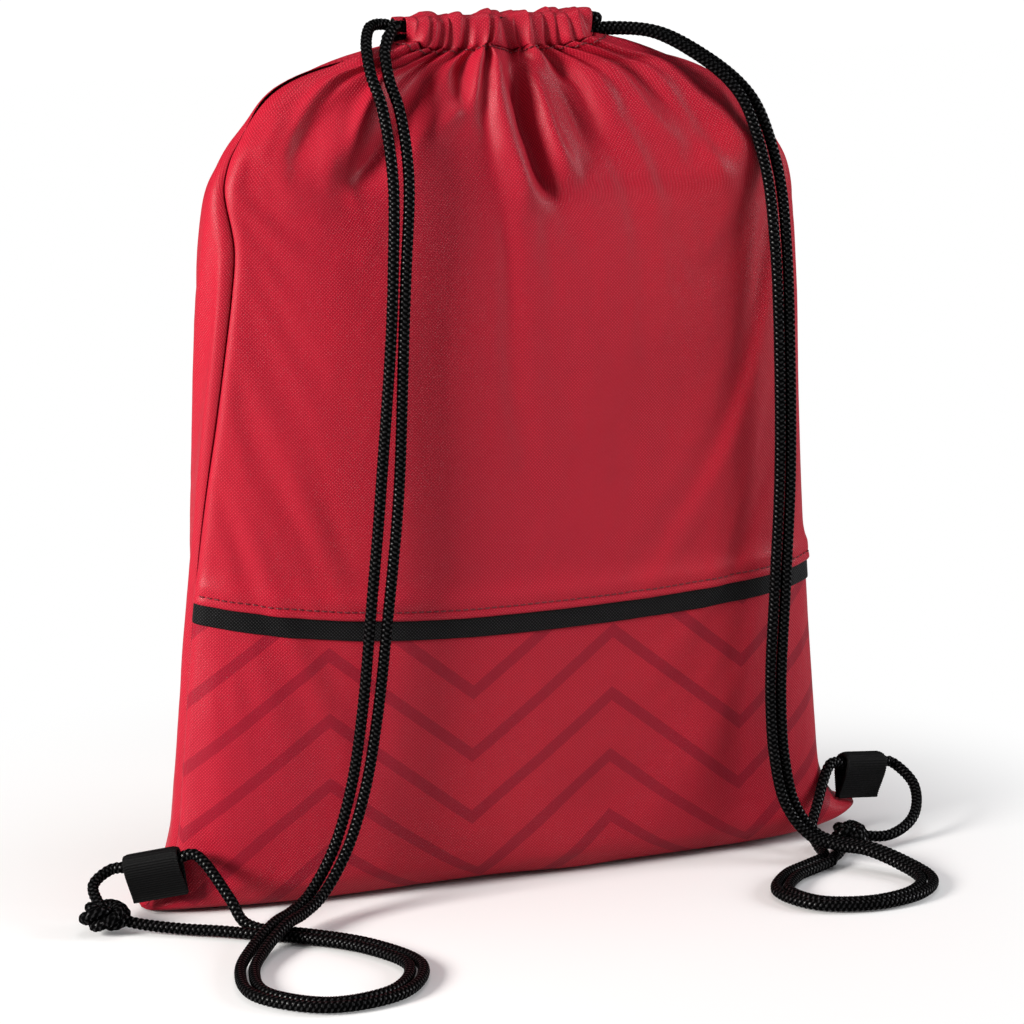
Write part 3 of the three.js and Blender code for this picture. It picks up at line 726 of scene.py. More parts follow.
def cord_material():
    """Black braided polyester: the strands' crests catch the light, with a painted highlight, and the grooves
    stay dull, with painted shade.
    """
    s = Shader(bpy.data.materials.new("braided_black_cord"))
    crest = s.add("Attribute", {"attribute_name": CREST})["Fac"]
    fluff = s.noise(s.object_place(), 900.0, 3.0, 0.6)
    top = s.range(crest, 0.55, 0.95, 0.0, 1.0)
    # The colour is painted darker in the grooves and lighter on the crests: painted shade and highlight.
    colour = s.colours(top, CORD_GROOVE_SHADE, CORD_CREST_HIGHLIGHT)
    roughness = s.math("ADD", s.range(top, 0.0, 1.0, 0.75, 0.28), s.math("MULTIPLY", fluff, 0.08))
    s.join(s.surface, Specular_IOR_Level=s.range(top, 0.0, 1.0, 0.02, 0.40))
    return s.finish(colour, roughness, fluff, 0.10)


def webbing_material():
    """Black grosgrain webbing: u runs across the ribs, v along them."""
    s = Shader(bpy.data.materials.new("black_grosgrain"))
    across, along = s.uv()
    ribs = s.math("SINE", s.math("MULTIPLY", across, 2 * math.pi / RIB_PITCH))
    threads = s.math("SINE", s.math("MULTIPLY", along, 2 * math.pi / RIB_THREAD))
    fluff = s.noise(s.object_place(), 1100.0, 2.0, 0.6)
    # The raised half of each rib is painted lighter: a painted highlight.
    colour = s.colours(s.range(ribs, 0.0, 1.0, 0.0, 0.5), s.colours(fluff, WEB_DARK, WEB_PALE), WEB_RIB_HIGHLIGHT)
    height = s.math("ADD", s.math("MULTIPLY", threads, 0.5), fluff)
    s.join(s.surface, Specular_IOR_Level=0.14)
    return s.finish(colour, s.range(fluff, 0.3, 0.7, 0.5, 0.7), height, 0.12)


def thread_material():
    """Twisted polyester sewing thread."""
    s = Shader(bpy.data.materials.new("red_thread"))
    across, along = s.uv()
    turn = s.math("MULTIPLY", across, 2 * math.pi)
    twist = s.math("SINE", s.math("ADD", turn, s.math("MULTIPLY", along, 9.0)))
    # The colour is painted darker in the twist's grooves and lighter on its ridges: painted shade and
    # highlight.
    colour = s.colours(s.range(twist, -1.0, 1.0, 0.0, 1.0), THREAD_GROOVE_SHADE, THREAD_RIDGE_HIGHLIGHT)
    return s.finish(colour, s.range(twist, -1.0, 1.0, 0.36, 0.52), twist, 0.05)


REDS = (RED, RED_WARM, RED_DEEP, RED_POINT_GLINT)
BLACKS = (BLACK, BLACK_WARM, BLACK, BLACK_POINT_GLINT)
RED_CLOTH = cloth_material("red_cloth", *REDS)
PRINTED_CLOTH = cloth_material("printed_red_cloth", *REDS, printed=True)
BLACK_TRIM = cloth_material("black_trim", *BLACKS, specular=0.12, point_glint_share=0.7)
CORD = cord_material()
WEB = webbing_material()
THREAD = thread_material()


# ---------------- cloth pieces
def lip_share(x):
    """How far a point follows its lip: 1 in the middle of the mouth and 0 at its two ends."""
    return np.clip(1 - (x / MOUTH_HALF) ** 2, 0, 1)


LIP_REACH = 60.0           # the cloth follows its lip down to this far below the casing
# A tape or hem that stands off the cloth is sewn down at its two ends.
SEWN_DOWN = 0.25 + 0.75 * smooth(1 - np.abs(U), 0, 0.035)
# The lapped hem over the tape: how far up from its folded edge, and how far off the cloth.
HEM_PROFILE = [
    (0, 1.5), (0.5, 2.2), (1.6, 2.4), (3.2, 2.1), (4.2, 1.7), (5.2, 2.0), (8, 2.0), (10, 1.6), (12, 0.7),
]
HEM_PLAIN = 15.0           # the cloth is plain again this far above the folded edge
STITCH_LINE = 4.2          # the topstitch above the folded edge


def cloth_piece(name, facing, q_lines, material, thickness=CLOTH, lifts=()):
    """Cloth cut from a settled sheet at the lines' heights. lifts is how far the first lines stand off it."""
    points = []
    uv = []
    for q, lift in itertools.zip_longest(q_lines, lifts, fillvalue=0.0):
        normal = unit(line_at(NORMALS[facing], q))
        points.append(line_at(SHEETS[facing], q) + normal * lift * SEWN_DOWN[:, None])
        up = q + TRIM_RISE * np.interp(q, Q, NEAR_TRIM)
        uv.append(np.stack([line_at(DISTANCES[facing], q), up], -1))
    faces = grid_faces(len(q_lines), COLUMNS + 1, flip=facing > 0)
    piece = mesh_object(name, np.concatenate(points), faces, material, np.concatenate(uv))
    thicken(piece, thickness)
    return piece


def mouth_share(q_lines):
    """How far each point of a panel follows its lip."""
    rise = smooth(np.asarray(q_lines, float), TOP_Q - LIP_REACH, TOP_Q - 2)
    return np.repeat(rise, COLUMNS + 1) * np.tile(lip_share(TOP_X), len(q_lines))


def whole_lines(low, high):
    """Heights of the grid's own lines from low to high."""
    spacing = TOP_Q / LINES
    return [i * spacing for i in range(math.ceil(low / spacing), math.floor(high / spacing + 1e-6) + 1)]


def build_panels():
    edge = TRIM_Q + TAPE_HALF
    lines = [edge + up for up, lift in HEM_PROFILE] + whole_lines(edge + HEM_PLAIN, TOP_Q)
    lifts = [lift for up, lift in HEM_PROFILE]
    upper = cloth_piece("front_upper_cloth", -1, lines, RED_CLOTH, lifts=lifts)
    attach(upper, ["front_upper_panel"], ("bag", "front_lip"), mouth_share(lines))

    lines = [0, CLOTH_STEP] + whole_lines(1, TRIM_Q + 8) + [TRIM_Q + 9]
    lower = cloth_piece("front_lower_cloth", -1, lines, PRINTED_CLOTH)
    attach(lower, ["front_lower_panel", "bottom_seam_thread"])

    lines = [0, CLOTH_STEP] + whole_lines(1, TOP_Q)
    back = cloth_piece("back_cloth", 1, lines, RED_CLOTH)
    nodes = ["back_panel", "left_seam_thread", "right_seam_thread"]
    attach(back, nodes, ("bag", "back_lip"), mouth_share(lines))


def build_tape():
    lines = np.linspace(TRIM_Q - TAPE_HALF, TRIM_Q + TAPE_HALF + TAPE_TUCK, 9)
    tape = cloth_piece("trim_tape_cloth", -1, lines, BLACK_TRIM, TAPE_THICK, [TAPE_LIFT] * len(lines))
    attach(tape, ["trim_tape"])


# ---------------- casings
PLEAT_DEPTH = 2.4          # how far the gathered cloth puffs out between its grooves
FOLD_REACH = 0.95          # share of the front folds that runs on into the casing
CASING_START = -0.30       # the panel runs into the casing at this share of a half turn, below its outer side
CASING_SWEEP = 1.74        # half turns from there over the top and back below
CASING_POINTS = 26
CASING_SQUARE = 0.7        # the section's power: 1 is an ellipse, less is squarer
CASING_JOIN = 0.3          # share of the way over which the panel's edge becomes the casing
CASING_END = 0.8           # the casing goes this far past the mouth's end
FOLD_LIMITS = (-0.8, 5.5)  # in and out, where the front folds run on
CREST_LEAN = 1.1           # how far the pleats lean sideways at the top


def rounded(values):
    """Cosines or sines made squarer for the casing's section."""
    return np.sign(values) * np.abs(values) ** CASING_SQUARE


def casing_rings(facing):
    """Lines of the casing: from the panel's top edge up, over the two cords and down inside."""
    edge = line_at(SHEETS[facing], TOP_Q)
    t = np.linspace(0, 1, CASING_POINTS)
    angle = (CASING_START + CASING_SWEEP * t) * math.pi
    out = rounded(np.cos(angle)) * CASING_HALF_DEPTH * facing
    up = rounded(np.sin(angle)) * CASING_HALF_HEIGHT
    middle_x = np.interp(U, [-1, 1], [-MOUTH_HALF - CASING_END, MOUTH_HALF + CASING_END])
    crest = GATHERS[facing].crest(U)
    folds = np.zeros(U.shape)
    if facing < 0:
        level = np.full(U.shape, CASING_BOTTOM + 4)
        folds = np.clip(sum(fold_height(edge[:, 0], level, *fold) for fold in FOLDS), *FOLD_LIMITS)
    pleats = PLEAT_DEPTH * np.sqrt(np.clip((crest + 1) / 2, 0, 1))
    wave = np.sin(U * 9 + facing) * 0.9 + np.sin(U * 19 + 2 * facing) * 0.7
    end = smooth(np.abs(U), 0.93, 1.0)
    rings = []
    for k in range(CASING_POINTS):
        # The cloth puffs out on its outer side and lies flat inside; folds lose height towards the top.
        facing_out = np.clip(out[k] * facing / CASING_HALF_DEPTH * 0.6 + 0.4, 0, 1)
        high = smooth(up[k], -CASING_HALF_HEIGHT, CASING_HALF_HEIGHT * 0.6)
        grow = (pleats + FOLD_REACH * folds * (1 - 0.35 * high)) * facing_out
        direction = unit(np.array([out[k] / CASING_HALF_DEPTH, up[k] / CASING_HALF_HEIGHT]))
        ring = np.stack([
            middle_x + crest * CREST_LEAN * high,
            facing * LIP_Y + out[k] + direction[0] * grow * (1 - 0.5 * end),
            TUNNEL_Z + up[k] + direction[1] * grow * 0.7 + wave * high,
        ], -1)
        rings.append(mix(ring, edge, 1 - smooth(t[k], 0.0, CASING_JOIN)))
    return np.array(rings)


def build_casing(which, facing):
    rings = casing_rings(facing)
    width = cloth_distances(rings).mean(axis=0)
    climb = np.concatenate([[0], np.cumsum(np.linalg.norm(np.diff(rings, axis=0), axis=2).mean(axis=1))])
    uv = np.stack(np.broadcast_arrays(width[None, :], TOP_Q + climb[:, None]), -1)
    points = rings.reshape(-1, 3)
    faces = grid_faces(CASING_POINTS, COLUMNS + 1, flip=facing > 0)
    casing = mesh_object(f"{which}_casing_cloth", points, faces, RED_CLOTH, uv.reshape(-1, 2))
    thicken(casing, CLOTH, levels=2)
    share = np.tile(lip_share(TOP_X), CASING_POINTS)
    attach(casing, [f"{which}_casing"], ("bag", f"{which}_lip"), share)


# ---------------- cords
CORD_AROUND = 24           # points round a ring of the cord
CORD_STEP = 0.6            # distance between rings
BRAID_CELLS = 4            # crossings of the braid round the cord
BRAID_CELL = 2.4           # length of one crossing along the cord
BRAID_DEPTH = 0.6
BRAID_MEAN = 0.75          # the height in the braid that lies at the cord's radius


def curve_through(points):
    """A dense centripetal Catmull-Rom curve, and the number of its point at each given one."""
    p = [np.array(q, float) for q in points]
    p = [2 * p[0] - p[1]] + p + [2 * p[-1] - p[-2]]
    dense = []
    marks = []
    for a, b, c, d in zip(p, p[1:], p[2:], p[3:]):
        ab, bc, cd = (np.linalg.norm(end - begin) ** 0.5 for begin, end in ((a, b), (b, c), (c, d)))
        leave = ((b - a) / ab - (c - a) / (ab + bc) + (c - b) / bc) * bc
        arrive = ((c - b) / bc - (d - b) / (bc + cd) + (d - c) / cd) * bc
        marks.append(len(dense))
        count = max(2, math.ceil(np.linalg.norm(c - b) / CORD_STEP))
        for t in np.arange(count) / count:
            to_c = 3 * t ** 2 - 2 * t ** 3
            dense.append((1 - to_c) * b + to_c * c + t * (1 - t) ** 2 * leave - t ** 2 * (1 - t) * arrive)
    marks.append(len(dense))
    dense.append(p[-2])
    return np.array(dense), marks


class CordLine:
    """A cord's centre line with a frame that doesn't twist, so that pieces cut from it match."""

    def __init__(self, centre):
        self.centre = centre
        self.tangent = unit(np.gradient(centre, axis=0))
        self.run = run_along(centre)
        side = np.cross(self.tangent[0], (0.3, 0.2, 0.93))   # any direction that no cord starts in
        sides = []
        for t in self.tangent:
            side = side - t * (side @ t)
            side = side / np.linalg.norm(side)
            sides.append(side)
        self.side = np.array(sides)
        self.other = np.cross(self.tangent, self.side)

    def rings(self, first, last, radius=CORD_R):
        """Points, uv and crests of the cord between two numbers of its centre line."""
        cut = slice(first, last + 1)
        share = np.arange(CORD_AROUND) / CORD_AROUND
        angle = share * 2 * math.pi
        run = self.run[cut][:, None]
        # Two sets of strands wind opposite ways and take turns to lie on top.
        a = BRAID_CELLS * share + run / BRAID_CELL
        b = BRAID_CELLS * share - run / BRAID_CELL
        over = (np.floor(a) + np.floor(b)) % 2 == 0
        across = np.where(over, a, b) % 1
        along = np.where(over, b, a) % 1
        bump = np.sin(across * math.pi) ** 0.8 * (0.62 + 0.38 * np.sin(along * math.pi))
        r = np.broadcast_to(radius, len(run))[:, None] + BRAID_DEPTH * (bump - BRAID_MEAN)
        ring = (self.side[cut][:, None, :] * np.cos(angle)[None, :, None]
                + self.other[cut][:, None, :] * np.sin(angle)[None, :, None])
        points = self.centre[cut][:, None, :] + ring * r[..., None]
        uv = np.stack(np.broadcast_arrays(share[None, :], run), -1)
        return points.reshape(-1, 3), uv.reshape(-1, 2), bump.ravel()


def cord_piece(nodes, line, first=0, last=None, radius=CORD_R, bodies=("bag",), share=None, name=None):
    """A closed length of cord that stands for the nodes. share(points, run) is how far each point follows the
    second body."""
    last = len(line.centre) - 1 if last is None else last
    points, uv, crest = line.rings(first, last, radius)
    rings = last - first + 1
    faces = grid_faces(rings, CORD_AROUND, wrap=True, flip=True)
    cap = len(points)
    points = np.concatenate([points, [line.centre[first], line.centre[last]]])
    uv = np.concatenate([uv, [[0, line.run[first]], [0, line.run[last]]]])
    for c in range(CORD_AROUND):
        d = (c + 1) % CORD_AROUND
        faces.append([cap, c, d])
        faces.append([cap + 1, (rings - 1) * CORD_AROUND + d, (rings - 1) * CORD_AROUND + c])
    piece = mesh_object(name or nodes[0] + "_cord", points, faces, CORD, uv)
    for polygon in piece.data.polygons[-2 * CORD_AROUND:]:
        polygon.use_smooth = False
    crests = piece.data.attributes.new(CREST, "FLOAT", "POINT")
    crests.data.foreach_set("value", np.append(crest, (0.5, 0.5)).astype(np.float32))
    attach(piece, nodes, bodies, share and share(points, uv[:, 1]))


# Middle lines of the two pairs of strands: out of the casing and over the shoulder (hook), down the front
# (upper and lower), then round the coil on the floor; and the tails to the knot and through the tab. They
# match the CAD cords.
SIDES = {
    "left": {
        "sign": -1,
        "hook": [(-45, 0, 385.8), (-52.5, -3.5, 386), (-59.5, -13, 379), (-61.5, -23, 367), (-59, -30, 353)],
        "upper": [(-58, -39, 325), (-61, -45, 285), (-65, -49, 232), (-69, -51, 182)],
        "lower": [(-74, -52, 135), (-78.5, -51, 90), (-84.5, -51, 56), (-94, -53, 30), (-107, -58, 13)],
        "coil": [(-118, -66, 9), (-129, -76, 8.7), (-145, -93, 4.5), (-157, -114, 2.6), (-160, -143, 2.6),
                 (-138, -165, 2.6), (-106, -160, 2.6), (-88, -132, 2.6), (-98, -102, 2.6), (-118, -80, 2.6),
                 (-133, -69, 2.6)],
        "to_knot": [(-150, -60, 2.6), (-166, -50, 2.6), (-182, -41, 4)],
        "to_tab": [(-140, -58, 5), (-144, -50, 14)],
        "from_tab": [(-196, -17, 16)],
    },
    "right": {
        "sign": 1,
        "hook": [(45, 0, 380.2), (58, -3, 381), (75, -9, 379), (93, -17, 369), (107, -23, 357),
                 (114, -27, 346)],
        "upper": [(121, -34, 318), (123, -40, 285), (124, -44, 232), (124, -46, 180)],
        "lower": [(122, -47, 130), (120, -48, 80), (122, -49, 48), (127, -52, 25), (136, -58, 12)],
        "coil": [(145, -66, 9), (155, -77, 8.7), (165, -92, 5), (168, -108, 2.6), (155, -124, 2.6),
                 (130, -130, 2.6), (107, -121, 2.6), (100, -101, 2.6), (113, -82, 2.6), (126, -74, 2.6),
                 (137, -68, 2.6)],
        "to_knot": [(143, -64.5, 2.6), (147.2, -61, 2.8)],
        "to_tab": [(140.5, -59.5, 2.7), (141.5, -51, 4), (141.5, -44, 9), (149, -34.5, 19)],
        "from_tab": [(204, -25, 20), (195, -43, 10), (178, -51, 5)],
    },
}
STRETCHES = ("hook", "upper", "lower", "coil")
# Half the distance between the strands of a pair at the casing and at the end of each stretch, and how much
# closer together they come halfway down the upper stretch.
SPREAD = {"left": (LIP_Y, 3.9, 4.1, 3.0, 2.9), "right": (LIP_Y, 3.2, 2.7, 2.7, 2.9)}
PAIR_PINCH = {"left": 1.2, "right": 0.2}
HOOK_SPREAD = 0.55         # the pair comes together over this share of the hook
HOOK_OVERLAP = 6.0         # the hook's end goes this far inside the upper strand, and gets thinner there
HOOK_THINNER = (0.25, 1.1)
FREE_FROM_FLOOR = 50.0     # the lower strands swing fully from this height
KNEE_BEND = 45.0           # length of cord that takes the bend at the knee


def node_name(side, which, stretch):
    sign = SIDES[side]["sign"]
    strand = "front" if which == -sign else "back"
    return f"{side}_{strand}_strand_{stretch}"


def strand_line(side, which):
    """One strand from the casing to the end of the coil, and the numbers where its stretches end."""
    stretches = [SIDES[side][name] for name in STRETCHES]
    centre, marks = curve_through([p for s in stretches for p in s])
    bounds = [0] + [marks[n - 1] for n in itertools.accumulate(len(s) for s in stretches)]
    half = np.empty(len(centre))
    for k, stretch in enumerate(STRETCHES):
        part = slice(bounds[k], bounds[k + 1] + 1)
        t = np.linspace(0, 1, bounds[k + 1] - bounds[k] + 1)
        together = smooth(t, 0, HOOK_SPREAD if stretch == "hook" else 1)
        half[part] = mix(SPREAD[side][k], SPREAD[side][k + 1], together)
        if stretch == "upper":
            half[part] -= PAIR_PINCH[side] * np.sin(math.pi * t) ** 2
    tangent = unit(np.gradient(centre, axis=0))
    sideways = np.cross((0, 0, 1), tangent)
    sideways[:, 0] += np.abs(tangent[:, 2])
    return CordLine(centre + unit(sideways) * (which * half)[:, None]), bounds


def joint(name):
    return next(j for j in frame["joints"] if j["name"] == name)


def tab_frame(side):
    """The tab's middle at its sewn edge and its directions along the edge, through its thickness and up."""
    hinge = joint(f"{side}_tab_swing")
    along = np.array(hinge["axis"], float) * SIDES[side]["sign"]
    thickness = unit(np.array([-along[1], along[0], 0.0]))
    up = unit(np.cross(along, thickness))
    return np.array(hinge["pos_m"], float) / MM, unit(along), thickness, up * np.sign(up[2])


TAB_BELLY = CORD_R + 0.9   # inner radius of the webbing round the cord
TAB_ARC_Z = TAB_HEIGHT - TAB_BELLY - WEBBING_THICK
TAB_CORD_Z = TAB_ARC_Z - 0.6
TAB_LEAD = 7.0             # the cord runs straight this far before and after the tab


def by_height(low, high):
    """Follows the second body more and more from the low height to the high one."""
    return lambda points, run: smooth(points[:, 2], low, high)


def build_straps(side):
    """The four stretches of both strands of one strap. Returns the two strands' lines by which."""
    knee = joint(f"{side}_strap_knee")["pos_m"][2] / MM
    bag, low_body, high_body = "bag", f"{side}_strap_lower", f"{side}_strap_upper"
    lines = {}
    for which in (-1, 1):
        line, (start, hook_end, upper_end, lower_end, coil_end) = strand_line(side, which)
        hook, upper, lower, coil = ([node_name(side, which, stretch)] for stretch in STRETCHES)

        tip = hook_end + round(HOOK_OVERLAP / CORD_STEP)
        inside = (np.arange(start, tip + 1) - hook_end) / (tip - hook_end)
        radius = CORD_R - np.where(inside > 0, mix(*HOOK_THINNER, inside), 0)
        cord_piece(hook, line, start, tip, radius)

        bend = by_height(knee, knee + KNEE_BEND)
        cord_piece(upper, line, hook_end, upper_end, bodies=(low_body, high_body), share=bend)
        bend = by_height(line.centre[lower_end, 2], FREE_FROM_FLOOR)
        cord_piece(lower, line, upper_end, lower_end, bodies=(bag, low_body), share=bend)
        cord_piece(coil, line, lower_end, coil_end)
        lines[which] = line
    return lines


TAIL_LEAD = 8.0            # the strand's own last length that gives a tail its direction


def tail_line(strand, points):
    """A tail that goes on smoothly from the end of a strand, and the numbers of its given points."""
    lead = round(TAIL_LEAD / CORD_STEP)
    centre, marks = curve_through([strand.centre[-1 - lead], strand.centre[-1], *points])
    return CordLine(centre), marks[1:]


def knot_middle(side):
    low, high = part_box(f"{side}_knot")
    return np.array((low + high) / 2) / MM


def build_tails(side, strands):
    """The two ends of a cord: one goes straight to the knot, the other through the tab first."""
    data = SIDES[side]
    line, marks = tail_line(strands[-data["sign"]], [*data["to_knot"], knot_middle(side)])
    cord_piece([f"{side}_tail_to_knot"], line, marks[0])

    middle, along, thickness, up = tab_frame(side)
    eye = middle + up * TAB_CORD_Z
    half = WEBBING / 2
    through = [eye + along * d for d in (-half - TAB_LEAD, -half, 0, half, half + TAB_LEAD)]
    points = [*data["to_tab"], *through, *data["from_tab"], knot_middle(side)]
    line, marks = tail_line(strands[data["sign"]], points)
    first_through = 1 + len(data["to_tab"])
    start, entry, leave, end = line.run[[marks[0], marks[first_through + 1], marks[first_through + 3], -1]]
    cord_piece(
        [f"{side}_tail_to_tab", f"{side}_cord_in_tab", f"{side}_tail_from_tab"], line, marks[0],
        bodies=("bag", f"{side}_tab"), name=f"{side}_tail_through_tab_cord",
        share=lambda points, run: smooth(run, start, entry) * (1 - smooth(run, leave, end)),
    )


KNOT_WINDING = 5.2         # radius of the ring the cord winds round, and of the winding
KNOT_COIL = 3.1
KNOT_TURNS = (3, 4)        # turns round the ring, and turns of the winding on the way
KNOT_RINGS = 200
KNOT_SQUASH = {"left": (1.1, 0.95, 1.05), "right": (0.8, 0.8, 1.0)}


def build_knot(side):
    """A stopper knot where the cord's two ends are tied together."""
    turns, lobes = KNOT_TURNS
    t = np.linspace(0, 2 * math.pi * turns, KNOT_RINGS)
    wave = lobes / turns * t
    reach = KNOT_WINDING + KNOT_COIL * np.cos(wave)
    shape = np.stack([reach * np.cos(t), reach * np.sin(t), KNOT_COIL * np.sin(wave)], -1)
    cord_piece([f"{side}_knot"], CordLine(knot_middle(side) + shape * np.array(KNOT_SQUASH[side])))


TURN_START = MOUTH_HALF + 1.5   # where the cord turns back at the far end of the mouth
TURN_REACH = 4.5
TURN_RINGS = 24


def build_channel_cords(side):
    """The cord inside the two casings and its turn at the far end of the mouth."""
    sign = SIDES[side]["sign"]
    start, _, z = SIDES[side]["hook"][0]
    for casing, facing in (("front", -1), ("back", 1)):
        x = np.arange(0, TURN_START + abs(start), CORD_STEP)
        centre = np.stack(np.broadcast_arrays(start - sign * x, facing * LIP_Y, z), -1)
        cord_piece(
            [f"{side}_cord_in_{casing}_casing"], CordLine(centre), bodies=("bag", f"{casing}_lip"),
            share=lambda points, run: lip_share(points[:, 0]),
        )
    angle = np.linspace(-math.pi / 2, math.pi / 2, TURN_RINGS)
    x = -sign * (TURN_START + TURN_REACH * np.cos(angle))
    centre = np.stack(np.broadcast_arrays(x, LIP_Y * np.sin(angle), z), -1)
    cord_piece([f"{side}_cord_turn"], CordLine(centre))


# ---------------- webbing tabs
TAB_ALONG = 150            # points along the webbing, and across it
TAB_ACROSS = 30
TAB_RIB_DEPTH = 0.16
TAB_EDGE = 2.2             # the loop is lower this near its woven edges, pulled down by the cord
TAB_EDGE_DROP = 0.03


def tab_outline():
    """Half the loop's widths and heights, from the sewn edge up and over the cord, then mirrored down."""
    belly = TAB_BELLY + WEBBING_THICK / 2
    rise = [(0.75, -1.0), (1.0, 1.5), (2.6, TAB_ARC_Z * 0.45), (belly * 0.95, TAB_ARC_Z - 4)]
    arc = [(belly * math.cos(a), TAB_ARC_Z + belly * math.sin(a)) for a in np.linspace(0, math.pi, 7)]
    return rise + arc + [(-w, h) for w, h in rise[::-1]]


def build_tab(side):
    """A folded loop of webbing: its layers lie together at the sewn edge and spread round the cord above."""
    middle, along, thickness, up = tab_frame(side)
    path, _ = curve_through([(w, h, 0) for w, h in tab_outline()])
    run = run_along(path)
    distance = np.linspace(0, 1, TAB_ALONG) * run[-1]
    w, h, _ = along_line(distance, run, path).T
    outward = unit(np.stack([np.gradient(h), -np.gradient(w)], -1))
    ribs = TAB_RIB_DEPTH * np.sin(distance * 2 * math.pi / RIB_PITCH)
    w = w + outward[:, 0] * (ribs + WEBBING_THICK / 2)
    h = h + outward[:, 1] * (ribs + WEBBING_THICK / 2)
    points = []
    uv = []
    for a in np.linspace(-WEBBING / 2, WEBBING / 2, TAB_ACROSS):
        lower = 1 - TAB_EDGE_DROP * smooth(abs(a), WEBBING / 2 - TAB_EDGE, WEBBING / 2)
        points.append(middle + np.outer(w, thickness) + np.outer(h * lower, up) + along * a)
        uv.append(np.stack([distance, np.full(distance.shape, a)], -1))
    faces = grid_faces(TAB_ACROSS, TAB_ALONG)
    tab = mesh_object(f"{side}_tab_webbing", np.concatenate(points), faces, WEB, np.concatenate(uv))
    thicken(tab, WEBBING_THICK, levels=0)
    attach(tab, [f"{side}_tab"], [f"{side}_tab"])


# ---------------- stitches
STITCH_GAP = 0.8
STITCH_SIDES = 6
# Each ring of a stitch: its share of the length, its height off the cloth and its radius.
STITCH_RINGS = np.array([
    (0.0, -0.45, 0.198), (0.12, 0.05, 0.36), (0.35, 0.32, 0.36), (0.65, 0.32, 0.36), (0.88, 0.05, 0.36),
    (1.0, -0.45, 0.198),
])
TOPSTITCH = (2.6, 1.75)    # length of a stitch, and how far its line lies off the plain cloth
CASING_STITCH = (2.4, 0.1)
CASING_STITCH_DROP = 1.5   # how far below the casing it runs


def stitches(node, facing, q, length, lift, bodies=("bag",), columns=slice(None)):
    """Separate stitches along a line of the cloth; each is a short thread that dips in at both ends."""
    normals = unit(line_at(NORMALS[facing], q))[columns]
    points = line_at(SHEETS[facing], q)[columns] + normals * lift
    run = run_along(points)
    angle = np.arange(STITCH_SIDES) / STITCH_SIDES * 2 * math.pi
    at, height, radius = STITCH_RINGS.T
    last = (len(at) - 1) * STITCH_SIDES
    rings = []
    places = []
    faces = []
    start = STITCH_GAP
    while start + length < run[-1]:
        place = start + at * length
        normal = unit(along_line(place, run, normals))
        centre = along_line(place, run, points) + normal * height[:, None]
        tangent = unit(np.gradient(centre, axis=0))
        side = unit(np.cross(tangent, normal))
        up = np.cross(side, tangent)
        ring = side[:, None] * np.cos(angle)[:, None] + up[:, None] * np.sin(angle)[:, None]
        first = len(places) * last // (len(at) - 1)
        rings.append((centre[:, None] + ring * radius[:, None, None]).reshape(-1, 3))
        places.extend(place)
        faces += grid_faces(len(at), STITCH_SIDES, wrap=True, start=first)
        faces.append([first + k for k in range(STITCH_SIDES)][::-1])
        faces.append([first + last + k for k in range(STITCH_SIDES)])
        start += length + STITCH_GAP
    places = np.repeat(places, STITCH_SIDES)
    uv = np.stack([np.tile(angle / (2 * math.pi), len(places) // STITCH_SIDES), places], -1)
    piece = mesh_object(node + "_thread", np.concatenate(rings), faces, THREAD, uv)
    share = np.interp(places, run, np.clip(1 - U[columns] ** 2, 0, 1))
    attach(piece, [node], bodies, share)


def build_stitches():
    edge = TRIM_Q + TAPE_HALF
    stitches("trim_topstitch", -1, edge + STITCH_LINE, *TOPSTITCH, columns=slice(2, -2))
    for which, facing in (("front", -1), ("back", 1)):
        line = TOP_Q - CASING_STITCH_DROP
        stitches(f"{which}_casing_stitch", facing, line, *CASING_STITCH, ("bag", f"{which}_lip"))


# ---------------- stage
CAMERA_AZIMUTH = -21.6     # degrees from straight in front
CAMERA_ELEVATION = 12.0
CAMERA_DISTANCE = 1.8      # metres, as all lengths of the camera and the lights
CAMERA_LENS = 140.2
CAMERA_SENSOR = 36
LOOK_AT = Vector((0, 0, 0.195))
AIM_RIGHT = 0.0085
AIM_UP = -0.031
LIGHTS_AT = Vector((0, 0, 0.2))
# Name, place, size, watts and colour.
LIGHTS = [
    ("key", (-1.9, -0.45, 0.85), 0.7, 64, (1, 0.97, 0.93)),
    ("fill", (1.8, -0.7, 0.8), 1.0, 23, (0.98, 0.98, 1)),
    ("top", (0.2, 0.1, 2.0), 1.2, 7, (1, 1, 1)),
]
AMBIENT = 0.20             # strength of the world for the cloth, in reflections and for the camera
REFLECTED = 0.05
BACKDROP = 1.05
FLOOR_WHITE = (0.93, 0.93, 0.935, 1)
FLOOR_BOUNCE = (0.48, 0.48, 0.485, 1)
FLOOR_HALF = 3000.0
FLOOR_Z = -0.6
FLOOR_NEAR = 150.0         # the floor's shadows fade out between these distances
FLOOR_FAR = 350.0


def add_light(name, place, size, power, colour):
    data = bpy.data.lights.new(name, "AREA")
    data.shape = "DISK"
    data.size = size
    data.energy = power
    data.color = colour
    light = bpy.data.objects.new(name, data)
    light.location = place
    light.rotation_euler = (LIGHTS_AT - Vector(place)).to_track_quat("-Z", "Y").to_euler()
    bpy.context.scene.collection.objects.link(light)


def build_world():
    """White to the camera, a soft even light to the cloth, and nearly dark in reflections."""
    world = bpy.data.worlds.new("studio")
    shader = Shader(world)
    rays = shader.add("LightPath")
    strength = AMBIENT
    for ray, value in (("Is Glossy Ray", REFLECTED), ("Is Camera Ray", BACKDROP)):
        strength = shader.add("Mix", Factor=rays[ray], A=strength, B=value)["Result"]
    shader.join(shader.tree.nodes["Background"], Color=(1, 1, 1, 1), Strength=strength)
    bpy.context.scene.world = world


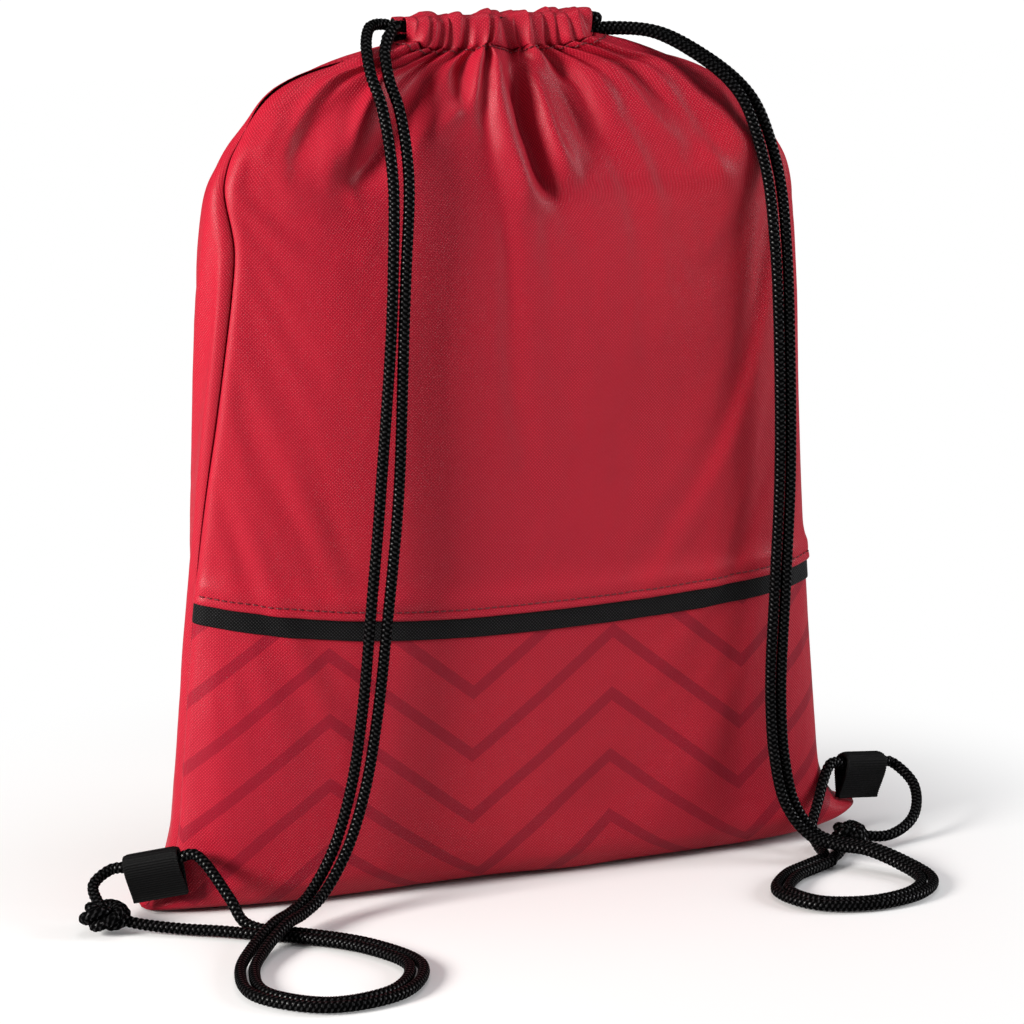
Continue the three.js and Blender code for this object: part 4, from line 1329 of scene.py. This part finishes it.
def build_floor():
    """A floor that takes soft shadows near the bag and is plain white further out, so no horizon shows. The
    bag gets less light back from it than the camera does, so the folds keep their depth."""
    shader = Shader(bpy.data.materials.new("pale_floor"))
    seen = shader.add("LightPath")["Is Camera Ray"]
    colour = shader.colours(seen, FLOOR_BOUNCE, FLOOR_WHITE)
    shader.join(shader.surface, Base_Color=colour, Roughness=0.8, Specular_IOR_Level=0.1)
    distance = shader.add("VectorMath", {"operation": "LENGTH"}, in0=shader.object_place())["Value"]
    fade = shader.math("MULTIPLY", shader.range(distance, FLOOR_NEAR * MM, FLOOR_FAR * MM, 0.0, 1.0), seen)
    glow = shader.add("Emission")[0]
    both = shader.add("MixShader", in0=fade, in1=shader.surface.outputs[0], in2=glow)[0]
    shader.join(shader.tree.nodes["Material Output"], Surface=both)
    corners = [(x * FLOOR_HALF, y * FLOOR_HALF, FLOOR_Z) for x, y in ((-1, -1), (1, -1), (1, 1), (-1, 1))]
    floor = mesh_object("floor", corners, [[0, 1, 2, 3]], shader.owner, smooth_shading=False)


def add_camera():
    data = bpy.data.cameras.new("camera")
    data.lens = CAMERA_LENS
    data.sensor_width = CAMERA_SENSOR
    camera = bpy.data.objects.new("camera", data)
    a = math.radians(CAMERA_AZIMUTH)
    e = math.radians(CAMERA_ELEVATION)
    back = Vector((math.sin(a) * math.cos(e), -math.cos(a) * math.cos(e), math.sin(e)))
    right = Vector((math.cos(a), math.sin(a), 0))
    camera.location = LOOK_AT + back * CAMERA_DISTANCE
    aim = LOOK_AT + right * AIM_RIGHT + Vector((0, 0, 1)) * AIM_UP
    camera.rotation_euler = (aim - camera.location).to_track_quat("-Z", "Y").to_euler()
    bpy.context.scene.collection.objects.link(camera)
    bpy.context.scene.camera = camera


build_panels()
build_tape()
build_casing("front", -1)
build_casing("back", 1)
for side_name in ("left", "right"):
    build_tails(side_name, build_straps(side_name))
    build_knot(side_name)
    build_channel_cords(side_name)
    build_tab(side_name)
build_stitches()
build_floor()
build_world()
for light_values in LIGHTS:
    add_light(*light_values)
add_camera()
bpy.context.scene.view_settings.view_transform = "Standard"
